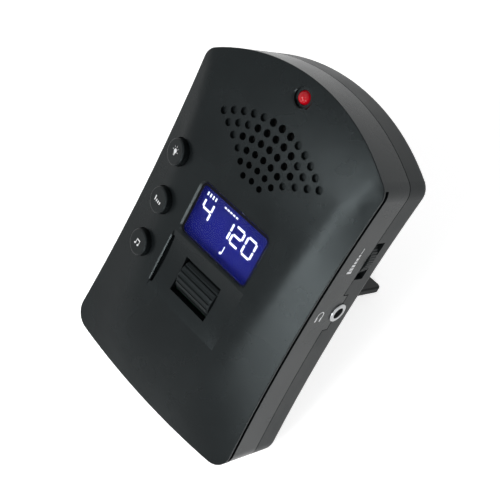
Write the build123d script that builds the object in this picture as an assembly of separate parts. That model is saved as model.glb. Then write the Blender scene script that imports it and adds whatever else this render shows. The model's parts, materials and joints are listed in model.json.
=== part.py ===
from build123d import *
import os
from math import asin, atan2, cos, degrees, hypot, pi, sin, sqrt

# Pocket digital metronome that leans back on its open stand, as separate pieces.
# Every piece is first drawn in the body's own upright frame: X to the right, Y from the
# front rim to the back, Z up from the waist. At the end all pieces are leaned back together
# until the foot of the case and the free edge of the stand touch the table at Z = 0.
# Lengths are in millimetres.

# Case outline seen from the front
TOP_HALF = 34.7          # half width at the top corners
WAIST_HALF = 33.5        # half width at the waist, Z = 0
FOOT_HALF = 35.8         # half width at the foot corners
SIDE_TOP = 46.0          # height of the top corners over the waist
SIDE_FOOT = -50.2        # height of the foot corners
TOP_RISE = 11.4          # rise of the arched top over its corners
FOOT_BOW = 2.5           # bow of the foot below its corners
TOP_CORNER_R = 5.0
FOOT_CORNER_R = 6.0

# Case walls and edges
WALL = 2.0
BACK_WALL = 2.0
PARTING = 12.2           # depth of the joint between the two shells
RIM_R = 0.25             # rounding of the front edge
BACK_R = 2.2             # rounding of the back edge
REVEAL = 0.3             # width and depth of the shadow line at the joint
LIP_T = 1.0              # locating lip inside the joint
LIP_H = 1.5
LIP_ROOT = 2.5
FIT = 0.1                # slip between fixed pieces
MERGE = 0.3              # depth by which features sink into the wall that carries them
FAR = 80.0               # reach of cutters past the case

# Front form: a crowned field that falls to sloping flanks
CROWN = 3.2              # height of the field in front of the rim
CROWN_TOP_Z = 19.4       # above this the field bends back towards the top
CROWN_TOP_R = 200.0
CROWN_FOOT_Z = -18.0     # below this it bends back towards the foot
CROWN_FOOT_R = 255.0
RIM_H = 0.4              # height of the flank where it meets the side
FLANK_FOOT = 17.1        # flank width at the foot corner
FLANK_TOP = 2.8          # flank width at the top corner
SHOULDER = 0.7           # height over which field and flank blend
CROWN_MIN = 0.8          # least field height used for the flank's slope
SKIN_MARGIN = 4.0        # front surface runs this far past the outline
SKIN_COLUMNS = 37
SKIN_ROWS = 45
SKIN_TOL = 0.03

# Dark reveal along both side edges
GROOVE_FRONT = 0.1
GROOVE_W = 1.4
GROOVE_DEPTH = 1.3

# Display
LCD_FLANK = 19.7         # window's edges from the sides at the waist
LCD_H = 17.0
LCD_Z = 8.0
LCD_CORNER_R = 2.0
LCD_BEVEL = 0.5          # bevel round the window's rim
BEVEL_ANGLE = 45.0
LENS_BORDER = 1.4        # lens overlap behind the window
LENS_T = 1.1             # lens behind the front wall
LENS_SUNK = 0.6          # face of the lens below the field
LENS_SLIP = 0.1          # lens to the rim of the window
GLASS_T = 1.8
GLASS_BORDER = 0.9
BACKLIGHT_T = 4.2
CONNECTOR_W = 1.8        # conductive rubber strip under the glass
CONNECTOR_ENDS = 1.0
HOLDER_WALL = 1.1
STACK_GAP = 0.05
LENS_GAP = 0.1           # front wall to the lens, taken up by its tape

# Speaker and grille
SPEAKER_RISE = 0.3       # speaker fence above the display holder
SPEAKER_R = 14.0
SPEAKER_RIM = 3.0        # width of the frame's front rim
SPEAKER_RIM_T = 1.0
SPEAKER_DEPTH = 6.3
BASKET_R = 8.6
BASKET_WALL = 0.6
MAGNET_R = 7.4
MAGNET_T = 2.2
POLE_R = 2.6             # centre hole of the basket, foot of the cone
CONE_DEPTH = 2.0
CONE_T = 0.3
CLOTH_T = 0.3
FENCE_T = 0.9
FENCE_H = 1.6
GRILLE_DROP = 23.8       # centre of the arcs of holes below the speaker's axis
GRILLE_R = 15.0          # radius of the innermost arc
GRILLE_STEP = 3.32       # from arc to arc
GRILLE_PITCH = (3.29, 3.16, 3.11, 3.23, 3.32, 3.37)   # from hole to hole along each arc
GRILLE_FIRST = 3         # holes in the innermost arc, two more in each next one
GRILLE_HOLE_R = (0.93, 0.98, 1.03, 1.07, 1.11, 1.15)   # of the holes in each arc
GRILLE_OPEN = (1, 2, 2, 3, 2, 1)   # holes each side of the middle one that go right through
DIMPLE_DEPTH = 0.9

# Beat lamp
LED_FROM_TOP = 5.5       # lamp axis below the top of the case
LED_R = 1.9
LED_PROUD = 0.6          # dome above the case
LED_FLANGE_R = 2.45
LED_FLANGE_T = 0.8
LED_LENGTH = 4.2         # dome top to flange back
LED_DISH_R = 2.9
LED_DISH_DEPTH = 0.9
LED_DISH_BEVEL = 0.3
LED_SLIP = 0.1
LEAD_R = 0.25
LEAD_GAP = 2.54
LED_BOARD_W = 12.4
LED_BOARD_H = 4.4
LED_BOSS_T = 0.8         # ring round the lamp's flange seat
LED_POST_R = 1.2
LED_POST_X = 4.9

# Main board
BOARD_T = 1.2
BOARD_SIDE_GAP = 1.3
BOARD_FOOT = -27.0
BOARD_ARM_IN = 17.5      # inner edge of the two upright arms
BOARD_ARM_OVER = 2.4     # arms above their screw posts
BOARD_GAP = 0.2          # board edge to the display holder's end
POST_R = 2.2
POST_IN = 2.5            # upper posts outside the inner edges of the arms
POST_GAP = 0.3           # upper posts over the top button and the potentiometer
POST_INSET = 3.2         # lower posts from the board's side edges
POST_FOOT_Z = -23.6
BOARD_SCREW_R = 0.8
BOARD_HEAD_R = 1.6
BOARD_HEAD_T = 1.0
BOARD_SCREW_GRIP = 4.0
CHIP = (10.0, 6.0, 1.4)
CHIP_AT = (15.0, -23.0)
CRYSTAL = (8.0, 3.2, 2.4)
CRYSTAL_AT = (-14.0, -23.0)
CAP_R = 2.4
CAP_H = 6.0
CAP_PITCH = 6.4
CAP_COUNT = 3
CAP_Z = -23.4

# Tempo roller
WHEEL_R = 6.4
WHEEL_W = 14.2
WHEEL_PROUD = 1.1        # above the floor of the finger scoop
WHEEL_RIBS = 22
RIB_GROOVE_R = 0.5
WHEEL_BEVEL = 0.4
WINDOW_SIDE_GAP = 0.4
WINDOW_GAP = 0.37
LCD_TO_WINDOW = 5.1
SCOOP_HALF = 15.0
SCOOP_REACH = 10.1
SCOOP_DEPTH = 1.2
PAD_BORDER = 1.2
SLIT_W = 1.0             # narrow slit at the left end of the scoop
SLIT_HALF = 8.4
SLIT_DEPTH = 0.8
SLIT_BEVEL = 0.3
AXLE_R = 1.25
RUNNING = 0.05           # radial clearance of turning shafts
BRACKET_T = 2.0
BRACKET_H = 8.0
BRACKET_TOP = 2.6        # material in front of the axle
WHEEL_END_GAP = 1.4
ENCODER_T = 5.5
ENCODER_H = 11.0
AXLE_IN_ENCODER = 4.0
BOARD_CUT_GAP = 0.9

# Three push buttons on the left flank
BUTTON_NAMES = ("rhythm", "beat", "light")
BUTTON_Z = -12.4         # lowest button
BUTTON_PITCH = 15.0
BUTTON_INSET = (10.1, 9.8, 7.7)   # from the side edge to each button's axis
BUTTON_R = 3.95
BUTTON_SLIP = 0.25
BUTTON_PROUD = 2.0
BUTTON_EDGE_R = 0.5
BUTTON_TRAVEL = 0.5
COLLAR_T = 1.4
COLLAR_LAND = 0.2
FLANGE_R = 5.1
FLANGE_T = 0.9
FLANGE_GAP = 0.05
SWITCH_W = 6.0
SWITCH_T = 2.2
STEM_R = 1.7
STEM_PROUD = 0.9
STEM_SLIP = 0.2
STEM_SUNK = 0.3          # stem inside its well at rest
STEM_ROOM = 0.1          # left under the stem when pressed
PLUNGER_R = 1.6

# Volume wheel and its potentiometer
VOLUME_Z = 22.7
VOLUME_R = 8.0
VOLUME_T = 3.0
VOLUME_PROUD = 0.5
VOLUME_FRONT_GAP = 0.6   # joint between the shells to the wheel's face
VOLUME_TEETH = 60
TOOTH_GROOVE_R = 0.22
SLOT_END_GAP = 0.4       # ends of the slot to the wheel's rim
SLOT_BACK_GAP = 0.5
POT_W = 8.0
POT_TO_WHEEL = 2.0
SHAFT_R = 1.5
SHOULDER_R = 2.2
SHOULDER_GAP = 0.1
SHAFT_DEPTH = 3.0
VOLUME_HEAD_R = 2.4
VOLUME_HEAD_T = 0.9
VOLUME_SCREW_R = 0.7
VOLUME_SCREW_L = 3.0

# Headphone socket
JACK_Z = 4.9
JACK_DROP = 2.1          # socket axis behind the joint between the shells
JACK_BORE_R = 1.8        # for a 3.5 mm plug
BUSH_R = 3.0
BUSH_PROUD = 0.5
BUSH_LENGTH = 4.4
BUSH_EDGE_R = 0.3
PLUG_DEPTH = 15.0
JACK_END = 1.5
JACK_HALF_Y = 4.0
JACK_HALF_Z = 4.9
JACK_FOOT_T = 2.0
CONTACT_PIN = 0.8
CONTACT_PITCH = 2.6
TONGUE_HALF = 6.0

# Cells, tray and door
CELL_R = 5.2
CELL_LENGTH = 43.5
CELL_NUB_R = 1.9
CELL_NUB = 1.0
CELL_PITCH = 10.9
CELL_GAP = 0.15
SPRING_ROOM = 3.5
PLATE_ROOM = 1.0
CONTACT_T = 0.4
CONTACT_W = 8.0
CONTACT_RISE = 3.6       # contacts stop this far below the door
TRAY_SIDE_GAP = 0.35
TRAY_WALL = 1.8
TRAY_FLOOR = 1.0
TRAY_GAP = 0.6           # in front of the tray
TRAY_OVER_CORNER = 5.0   # top of the tray above the top corners of the case
DOOR_T = 1.6
DOOR_ROOM = 0.95
DOOR_LEDGE = 1.5
DOOR_GAP = 0.2
TAB_X = 6.0
TAB_W = 5.0
TAB_T = 1.0
TAB_UNDER = 0.3          # tab to the inside of the wall
TAB_REACH = 1.5          # tab past the door's top edge
TAB_ROOM = 0.4
TAB_SWING = 1.0          # room in front of the tab as the door opens
GRIP_RIBS = 4
GRIP_RIB = 0.7
GRIP_PITCH = 1.7
GRIP_DEPTH = 0.4
GRIP_W = 12.0
GRIP_UP = 3.0

# Stand
STAND_HALF = 21.2
STAND_FOOT_GAP = 6.3     # free edge of the folded stand above the foot
STAND_T = 2.4
STAND_TRAY_GAP = 0.6     # walls of the stand below the tray
STAND_JACK_GAP = 0.4     # walls of the stand below the socket
STAND_SUNK = 0.2         # below the back face when folded
STAND_CORNER_R = 2.0
STAND_EDGE_R = 0.6
KNUCKLE_R = 2.2
STOP_GAP = 0.1
RECESS_GAP = 0.3
RECESS_WALL = 1.5
LUG_T = 3.0
PIN_R = 1.0
PIN_SEAT = 2.4
NOTCH_R = 4.0

# Screws that close the case
BOSS_R = 2.8
BOSS_INSET = 4.8
BOSS_TOP_DROP = 3.0
BOSS_FOOT_RISE = 6.2
BOSS_MEET = 11.0
COLUMN_R = 3.4
SCREW_R = 1.0
SCREW_SLIP = 0.2
SCREW_HEAD_R = 1.9
SCREW_HEAD_T = 1.4
SCREW_SUNK = 2.4
SCREW_GRIP = 6.5
HEAD_SLIP = 0.3
SLOT_W = 0.5             # cross slot in every screw head
SLOT_DEPTH = 0.5

# Wires inside
WIRE_R = 0.5
WIRE_BEND = 1.2
WIRE_SLIP = 0.1
SHORT_BEND = 0.7
LED_WIRE_OUT = 7.0       # lamp wire past the edge of its board
LED_WIRE_INSET = 12.5    # lamp wire from the side edge
LED_WIRE_DROP = 4.0      # its knee below the top corners
SPEAKER_WIRE_X = -12.6
SPEAKER_WIRE_DROP = 4.9  # start of the wire below the speaker's axis
SPEAKER_WIRE_END = (1.6, -3.0)   # end of the wire from the left post
BATTERY_WIRE_DROP = 0.6  # below the top of the tray
BATTERY_WIRE_IN = 2.0    # behind the tray's floor
BATTERY_WIRE_OUT = 2.5
BATTERY_WIRE_X = 18.6
BATTERY_WIRE_KNEE = 42.0
BATTERY_WIRE_END = 24.4

# Depths that follow from the stack of pieces behind the front
INNER_CROWN = WALL - CROWN
LENS_FRONT = INNER_CROWN + LENS_GAP
BOARD_FRONT = LENS_FRONT + LENS_T + GLASS_T + BACKLIGHT_T + 2 * STACK_GAP
BOARD_BACK = BOARD_FRONT + BOARD_T
JACK_Y = PARTING + JACK_DROP
VOLUME_FRONT = PARTING + VOLUME_FRONT_GAP
VOLUME_BACK = VOLUME_FRONT + VOLUME_T
POT_BACK = VOLUME_FRONT - POT_TO_WHEEL


def side(z):
    """Half width of the case at height z, a parabola through its three stations."""
    foot = (FOOT_HALF - WAIST_HALF) * z * (z - SIDE_TOP) / (SIDE_FOOT * (SIDE_FOOT - SIDE_TOP))
    top = (TOP_HALF - WAIST_HALF) * z * (z - SIDE_FOOT) / (SIDE_TOP * (SIDE_TOP - SIDE_FOOT))
    return WAIST_HALF + foot + top


def crown(z):
    """Height of the middle field in front of the rim."""
    above = max(0.0, z - CROWN_TOP_Z)
    below = max(0.0, CROWN_FOOT_Z - z)
    return CROWN - above ** 2 / (2 * CROWN_TOP_R) - below ** 2 / (2 * CROWN_FOOT_R)


def flank_width(z):
    """Width of the sloping flank: it opens like a parabola from the top corner."""
    down = max(0.0, SIDE_TOP - z) / (SIDE_TOP - SIDE_FOOT)
    return sqrt(FLANK_TOP ** 2 + (FLANK_FOOT ** 2 - FLANK_TOP ** 2) * down)


def front_height(x, z):
    """Height of the front surface: field and flank, blended where they meet."""
    field = crown(z)
    slope = (max(field, CROWN_MIN) - RIM_H) / flank_width(z)
    flank = RIM_H + (side(z) - abs(x)) * slope
    blend = max(SHOULDER - abs(field - flank), 0.0)
    return min(field, flank) - blend ** 2 / (4 * SHOULDER)


LCD_W = 2 * (WAIST_HALF - LCD_FLANK)
LENS_W = LCD_W + 2 * LENS_BORDER
LENS_H = LCD_H + 2 * LENS_BORDER
HOLDER_W = LENS_W + 2 * (FIT + HOLDER_WALL)
HOLDER_H = LENS_H + 2 * (FIT + HOLDER_WALL)
FENCE_R = SPEAKER_R + FIT + FENCE_T
SPEAKER_Z = LCD_Z + HOLDER_H / 2 + SPEAKER_RISE + FENCE_R
GRILLE_Z = SPEAKER_Z - GRILLE_DROP
SPEAKER_SEAT = WALL - crown(SPEAKER_Z + SPEAKER_R) + COLLAR_LAND
SPEAKER_BACK = SPEAKER_SEAT + SPEAKER_DEPTH
TRAY_FRONT = max(BOARD_BACK, SPEAKER_BACK) + TRAY_GAP
CELL_Y = TRAY_FRONT + TRAY_FLOOR + CELL_GAP + CELL_R
DOOR_INNER = CELL_Y + CELL_R + DOOR_ROOM
CASE_BACK = DOOR_INNER + DOOR_T
BACK_INNER = CASE_BACK - BACK_WALL

# Places that follow from the sizes above
WINDOW_PAD = INNER_CROWN + SCOOP_DEPTH
WHEEL_Y = SCOOP_DEPTH - CROWN - WHEEL_PROUD + WHEEL_R
WINDOW_HALF = sqrt(WHEEL_R ** 2 - (WHEEL_Y - WINDOW_PAD) ** 2) + WINDOW_GAP
WHEEL_Z = LCD_Z - LCD_H / 2 - LCD_TO_WINDOW - WINDOW_HALF
LED_WIRE_Z = SIDE_TOP - LED_WIRE_DROP
LED_WIRE_X = side(LED_WIRE_Z) - LED_WIRE_INSET
BOARD_TOP = LCD_Z + HOLDER_H / 2 + BOARD_GAP
VOLUME_X = side(VOLUME_Z) + VOLUME_PROUD - VOLUME_R
SLOT_HALF = sqrt(VOLUME_R ** 2 - (VOLUME_R - VOLUME_PROUD - WALL) ** 2) + SLOT_END_GAP
BUSH_OUT = side(JACK_Z) + BUSH_PROUD
BUSH_IN = BUSH_OUT - BUSH_LENGTH
JACK_IN = BUSH_OUT - PLUG_DEPTH
TRAY_HALF = CELL_PITCH / 2 + CELL_R + TRAY_SIDE_GAP
TRAY_TOP = SIDE_TOP + TRAY_OVER_CORNER
TRAY_FOOT = TRAY_TOP - SPRING_ROOM - CELL_LENGTH - CELL_NUB - PLATE_ROOM
DOOR_HALF = TRAY_HALF + DOOR_LEDGE
DOOR_FOOT = TRAY_FOOT - DOOR_LEDGE
DOOR_TOP = TRAY_TOP + DOOR_LEDGE
FOOT_Z = SIDE_FOOT - FOOT_BOW
DOOR_HINGE = (CASE_BACK - DOOR_T / 2, DOOR_TOP - DOOR_GAP - DOOR_T / 2)
STAND_ROOF = min(TRAY_FOOT - TRAY_WALL - STAND_TRAY_GAP, JACK_Z - JACK_HALF_Z - STAND_JACK_GAP)
STAND_Z = STAND_ROOF - RECESS_WALL - STOP_GAP - KNUCKLE_R
STAND_LENGTH = STAND_Z - FOOT_Z - STAND_FOOT_GAP
STAND_Y = CASE_BACK - STAND_SUNK - KNUCKLE_R
STAND_TOP = STAND_Z + KNUCKLE_R
STAND_FREE = STAND_Y + STAND_LENGTH
RECESS_HALF = STAND_HALF + RECESS_GAP
RECESS_FLOOR = STAND_Y + KNUCKLE_R - STAND_T - RECESS_GAP
RECESS_TOP = STAND_TOP + STOP_GAP
RECESS_FOOT = STAND_Z - STAND_LENGTH - RECESS_GAP
APEX_Z = SIDE_TOP + TOP_RISE
LED_Z = APEX_Z - LED_FROM_TOP
LED_FRONT = -crown(LED_Z) - LED_PROUD
LED_BACK = LED_FRONT + LED_LENGTH
LED_SEAT = LED_BACK - LED_FLANGE_T
GLASS_W = LCD_W + 2 * GLASS_BORDER
GLASS_H = LCD_H + 2 * GLASS_BORDER
GLASS_FRONT = LENS_FRONT + LENS_T + STACK_GAP
LENS_FACE = LENS_SUNK - CROWN
GLASS_BACK = GLASS_FRONT + GLASS_T
MAGNET_FRONT = SPEAKER_BACK - MAGNET_T
CELL_FOOT = TRAY_FOOT + SPRING_ROOM
POCKET_FLOOR = STAND_Y - KNUCKLE_R - RECESS_GAP
POCKET_FOOT = STAND_Z - KNUCKLE_R - RECESS_GAP
HEAD_FLOOR = CASE_BACK - SCREW_SUNK - SCREW_HEAD_T
BATTERY_WIRE_Y = TRAY_FRONT + TRAY_FLOOR + BATTERY_WIRE_IN
BATTERY_WIRE_Z = TRAY_TOP - BATTERY_WIRE_DROP
SWITCH_FRONT = BOARD_FRONT - SWITCH_T
STEM_FRONT = SWITCH_FRONT - STEM_PROUD
TAB_BACK = BACK_INNER - TAB_UNDER
TAB_FRONT = TAB_BACK - TAB_T
TAB_LOW = TRAY_TOP + TAB_ROOM
TAB_HIGH = DOOR_TOP - DOOR_GAP + TAB_REACH


def button_place(index):
    """Axis of a push button, counted from the lowest."""
    z = BUTTON_Z + index * BUTTON_PITCH
    return BUTTON_INSET[index] - side(z), z


BUTTON_PLACES = [button_place(index) for index in range(len(BUTTON_NAMES))]
COLLAR_END = max(WALL - front_height(x - FLANGE_R, z) for x, z in BUTTON_PLACES) + COLLAR_LAND
FLANGE_FRONT = COLLAR_END + FLANGE_GAP
BOSS_TOP_Z = SIDE_TOP - BOSS_TOP_DROP
BOSS_FOOT_Z = SIDE_FOOT + BOSS_FOOT_RISE
BOSS_PLACES = [
    (sign * (side(z) - WALL - BOSS_INSET), z)
    for z in (BOSS_TOP_Z, BOSS_FOOT_Z)
    for sign in (-1, 1)
]
POST_X = BOARD_ARM_IN + POST_IN
POST_LEFT = (-POST_X, BUTTON_PLACES[-1][1] + FLANGE_R + POST_R + POST_GAP)
POST_RIGHT = (POST_X, VOLUME_Z + POT_W / 2 + BOARD_HEAD_R + POST_GAP)
BOARD_ARM_LEFT = POST_LEFT[1] + BOARD_ARM_OVER
BOARD_ARM_RIGHT = POST_RIGHT[1] + BOARD_ARM_OVER
BOARD_HALF = min(WAIST_HALF, side(BOARD_ARM_RIGHT)) - WALL - BOARD_SIDE_GAP
POST_FOOT = (BOARD_HALF - POST_INSET, POST_FOOT_Z)
POST_PLACES = [POST_LEFT, POST_RIGHT, POST_FOOT, (-POST_FOOT[0], POST_FOOT[1])]


def slab(sketch, y_front, y_back):
    """Solid of a front-view sketch between two depths."""
    plane = Plane((0, y_back, 0), x_dir=(1, 0, 0), z_dir=(0, -1, 0))
    return extrude(plane * sketch, amount=y_back - y_front)


def rim_bevel(face, y_top, size):
    """Cutter that bevels the rim of an opening in the front."""
    plane = Plane((0, y_top + size, 0), x_dir=(1, 0, 0), z_dir=(0, -1, 0))
    return extrude(plane * face, amount=size + MERGE, taper=-BEVEL_ANGLE)


def disc(x, z, radius):
    """Front-view circle at x, z."""
    return Pos(x, z) * Circle(radius)


def panel(x, z, width, height):
    """Front-view rectangle centred on x, z."""
    return Pos(x, z) * Rectangle(width, height)


def band(x_left, x_right, z_low, z_high):
    """Front-view rectangle between limits."""
    return panel((x_left + x_right) / 2, (z_low + z_high) / 2, x_right - x_left, z_high - z_low)


def rod_x(y, z, radius, x_left, x_right):
    """Cylinder along X."""
    plane = Plane((x_left, y, z), x_dir=(0, 1, 0), z_dir=(1, 0, 0))
    return extrude(plane * Circle(radius), amount=x_right - x_left)


def circle_through(first, second, third):
    """Centre and radius of the circle through three points."""
    (ax, az), (bx, bz), (cx, cz) = first, second, third
    spread = 2 * (ax * (bz - cz) + bx * (cz - az) + cx * (az - bz))
    aa, bb, cc = ax ** 2 + az ** 2, bx ** 2 + bz ** 2, cx ** 2 + cz ** 2
    x = (aa * (bz - cz) + bb * (cz - az) + cc * (az - bz)) / spread
    z = (aa * (cx - bx) + bb * (ax - cx) + cc * (bx - ax)) / spread
    return x, z, hypot(ax - x, az - z)


def crossing(first, second, near):
    """Where two circles cross, the point nearest to a given one."""
    (x1, z1, r1), (x2, z2, r2) = first, second
    dx, dz = x2 - x1, z2 - z1
    apart = hypot(dx, dz)
    along = (apart ** 2 + r1 ** 2 - r2 ** 2) / (2 * apart)
    across = sqrt(r1 ** 2 - along ** 2)
    points = [
        (x1 + (along * dx - sign * across * dz) / apart, z1 + (along * dz + sign * across * dx) / apart)
        for sign in (-1, 1)
    ]
    return min(points, key=lambda point: hypot(point[0] - near[0], point[1] - near[1]))


def towards(centre, target, distance):
    """Point at a distance from a centre, on the line to a target."""
    dx, dz = target[0] - centre[0], target[1] - centre[1]
    length = hypot(dx, dz)
    return centre[0] + dx * distance / length, centre[1] + dz * distance / length


def mirrored(point):
    """The same point on the left side."""
    return -point[0], point[1]


def outline(inset=0.0):
    """Case outline seen from the front, drawn in by inset: arcs with rounded corners."""
    top_corner, foot_corner = (TOP_HALF, SIDE_TOP), (FOOT_HALF, SIDE_FOOT)
    side_arc = circle_through(foot_corner, (WAIST_HALF, 0), top_corner)
    waisted = 1 if side_arc[0] > WAIST_HALF else -1
    side_r = side_arc[2] + waisted * inset
    side_mid = towards(side_arc, (WAIST_HALF, 0), side_r)
    edges = []
    ends = []
    for corner, far_point, radius in (
        (top_corner, (0, APEX_Z), TOP_CORNER_R),
        (foot_corner, (0, FOOT_Z), FOOT_CORNER_R),
    ):
        end_arc = circle_through(corner, far_point, mirrored(corner))
        rolled_side = (side_arc[0], side_arc[1], side_arc[2] + waisted * radius)
        rolled_end = (end_arc[0], end_arc[1], end_arc[2] - radius)
        centre = crossing(rolled_side, rolled_end, corner)
        on_side = towards(side_arc, centre, side_r)
        on_end = towards(end_arc, centre, end_arc[2] - inset)
        chord_mid = ((on_side[0] + on_end[0]) / 2, (on_side[1] + on_end[1]) / 2)
        corner_mid = towards(centre, chord_mid, radius - inset)
        edges.append(ThreePointArc(on_side, corner_mid, on_end))
        edges.append(ThreePointArc(mirrored(on_side), mirrored(corner_mid), mirrored(on_end)))
        end_mid = towards(end_arc, far_point, end_arc[2] - inset)
        edges.append(ThreePointArc(on_end, end_mid, mirrored(on_end)))
        ends.append(on_side)
    edges.append(ThreePointArc(ends[0], side_mid, ends[1]))
    edges.append(ThreePointArc(mirrored(ends[0]), mirrored(side_mid), mirrored(ends[1])))
    return make_face(edges)


def skin(depth):
    """Everything behind the front surface moved back by depth."""
    reach = max(TOP_HALF, FOOT_HALF) + SKIN_MARGIN
    low = FOOT_Z - SKIN_MARGIN
    high = APEX_Z + SKIN_MARGIN
    columns = [-reach + 2 * reach * i / (SKIN_COLUMNS - 1) for i in range(SKIN_COLUMNS)]
    rows = [low + (high - low) * j / (SKIN_ROWS - 1) for j in range(SKIN_ROWS)]
    points = [[Vector(x, depth - front_height(x, z), z) for z in rows] for x in columns]
    face = Face.make_surface_from_array_of_points(points, tol=SKIN_TOL, min_deg=3, max_deg=3)
    return extrude(face, amount=FAR, dir=(0, 1, 0))


def case_solid():
    """The whole outer form, with rounded front and back edges."""
    body = slab(outline(), -FAR, CASE_BACK) & skin(0.0)
    back_face = body.faces().sort_by(Axis.Y)[-1]
    body = fillet(back_face.outer_wire().edges(), BACK_R)
    front_face = body.faces().sort_by(Axis.Y)[0]
    return fillet(front_face.outer_wire().edges(), RIM_R)


def cavity():
    """Space inside the case."""
    return slab(outline(WALL), -FAR, BACK_INNER) & skin(WALL)


def front_zone():
    """Everything in front of the joint between the shells."""
    return slab(Rectangle(2 * FAR, 2 * FAR), -FAR, PARTING)


def cut_all(solid, cutters):
    """Take a list of cutters out of a solid."""
    for cutter in cutters:
        solid -= cutter
    return solid


def jack_tongue(slip=0.0):
    """Part of the side wall round the socket that stays with the front shell."""
    inner = side(JACK_Z) - WALL - FIT - LIP_T
    half = TONGUE_HALF + slip
    return slab(band(inner, FAR, JACK_Z - half, JACK_Z + half), PARTING, JACK_Y + slip)


def parting_reveal():
    """Shadow line round the joint, left out at the socket."""
    ring = slab(outline(), PARTING - REVEAL / 2, PARTING + REVEAL / 2)
    ring -= slab(outline(REVEAL), -FAR, FAR)
    return ring - jack_tongue() - Pos(0, -REVEAL, 0) * jack_tongue()


def socket_hole():
    """Hole for the socket's bush, shared by both shells."""
    return rod_x(JACK_Y, JACK_Z, BUSH_R + FIT, BUSH_IN, FAR)


def side_groove(sign):
    """Dark reveal along one side edge, which ends where the corners are rounded."""
    rows = []
    for inset in (-MERGE, GROOVE_DEPTH):
        top = (sign * (TOP_HALF - inset), SIDE_TOP)
        waist = (sign * (WAIST_HALF - inset), 0)
        foot = (sign * (FOOT_HALF - inset), SIDE_FOOT)
        rows.append((top, waist, foot))
    edges = [ThreePointArc(*row) for row in rows]
    edges += [Line(rows[0][0], rows[1][0]), Line(rows[0][2], rows[1][2])]
    return slab(make_face(edges), GROOVE_FRONT, GROOVE_FRONT + GROOVE_W)


def finger_scoop():
    """Cylinder that dishes the front round the tempo roller."""
    radius = (SCOOP_REACH ** 2 + SCOOP_DEPTH ** 2) / (2 * SCOOP_DEPTH)
    return rod_x(SCOOP_DEPTH - CROWN - radius, WHEEL_Z, radius, -SCOOP_HALF, SCOOP_HALF)


def finger_slit():
    """Narrow slit with a bevelled rim at the left end of the finger scoop."""
    face = Pos(SLIT_W / 2 - SCOOP_HALF, WHEEL_Z) * SlotOverall(2 * SLIT_HALF, SLIT_W, rotation=90)
    return slab(face, -FAR, SCOOP_DEPTH - CROWN + SLIT_DEPTH) + rim_bevel(face, -CROWN, SLIT_BEVEL)


def grille_holes():
    """Fan of holes: open over the speaker, shallow dimples beyond it."""
    cuts = []
    for arc, pitch in enumerate(GRILLE_PITCH):
        radius = GRILLE_R + arc * GRILLE_STEP
        half_count = GRILLE_FIRST // 2 + arc
        for index in range(-half_count, half_count + 1):
            angle = index * pitch / radius
            x = radius * sin(angle)
            z = GRILLE_Z + radius * cos(angle)
            is_open = abs(index) <= GRILLE_OPEN[arc]
            floor = SPEAKER_SEAT if is_open else DIMPLE_DEPTH - crown(z)
            cuts.append(slab(disc(x, z, GRILLE_HOLE_R[arc]), -FAR, floor))
    return cuts


def display_window():
    """Window with a bevelled rim."""
    face = Pos(0, LCD_Z) * RectangleRounded(LCD_W, LCD_H, LCD_CORNER_R)
    return slab(face, -FAR, INNER_CROWN + MERGE) + rim_bevel(face, -CROWN, LCD_BEVEL)


def lamp_dish():
    """Round dish with a bevelled rim round the lamp."""
    face = disc(0, LED_Z, LED_DISH_R)
    top = -crown(LED_Z)
    return slab(face, -FAR, top + LED_DISH_DEPTH) + rim_bevel(face, top, LED_DISH_BEVEL)


def front_seats():
    """Pads, rings, collars, bosses and posts inside the front shell."""
    pad_foot = WHEEL_Z - SCOOP_REACH - PAD_BORDER
    pad_top = LCD_Z - HOLDER_H / 2 - FIT
    pad_half = SCOOP_HALF + PAD_BORDER
    ring_in = SPEAKER_R - SPEAKER_RIM / 2
    seats = slab(band(-pad_half, pad_half, pad_foot, pad_top), -FAR, WINDOW_PAD)
    seats += slab(disc(0, SPEAKER_Z, FENCE_R) - disc(0, SPEAKER_Z, ring_in), -FAR, SPEAKER_SEAT)
    fence = disc(0, SPEAKER_Z, FENCE_R) - disc(0, SPEAKER_Z, SPEAKER_R + FIT)
    seats += slab(fence, -FAR, SPEAKER_SEAT + FENCE_H)
    seats += slab(disc(0, LED_Z, LED_FLANGE_R + LED_BOSS_T), -FAR, LED_SEAT)
    for sign in (-1, 1):
        seats += slab(disc(sign * LED_POST_X, LED_Z, LED_POST_R), -FAR, BOARD_FRONT)
    for x, z in BUTTON_PLACES:
        seats += slab(disc(x, z, BUTTON_R + BUTTON_SLIP + COLLAR_T), -FAR, COLLAR_END)
    for x, z in BOSS_PLACES:
        seats += slab(disc(x, z, BOSS_R), -FAR, BOSS_MEET)
    for x, z in POST_PLACES:
        seats += slab(disc(x, z, POST_R), -FAR, BOARD_FRONT)
    return seats & skin(WALL - MERGE)


def front_shell():
    """Front half of the case."""
    shell = (case_solid() & (front_zone() + jack_tongue())) - cavity()
    shell += front_seats()
    window = panel(0, WHEEL_Z, WHEEL_W + 2 * WINDOW_SIDE_GAP, 2 * WINDOW_HALF)
    cuts = [
        display_window(),
        slab(window, -FAR, WHEEL_Y),
        finger_scoop(),
        finger_slit(),
        lamp_dish(),
        slab(disc(0, LED_Z, LED_R + LED_SLIP), -FAR, LED_SEAT),
        slab(disc(0, LED_Z, LED_FLANGE_R + LED_SLIP), LED_SEAT, BOARD_FRONT),
        socket_hole(),
        side_groove(-1),
        side_groove(1),
        parting_reveal(),
    ]
    cuts += grille_holes()
    for x, z in BUTTON_PLACES:
        cuts.append(slab(disc(x, z, BUTTON_R + BUTTON_SLIP), -FAR, COLLAR_END))
    for x, z in BOSS_PLACES:
        cuts.append(slab(disc(x, z, SCREW_R), BOSS_MEET - SCREW_GRIP, BOSS_MEET))
    for x, z in POST_PLACES:
        cuts.append(slab(disc(x, z, BOARD_SCREW_R), BOARD_FRONT - BOARD_SCREW_GRIP, BOARD_FRONT))
    return cut_all(shell, cuts)


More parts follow.
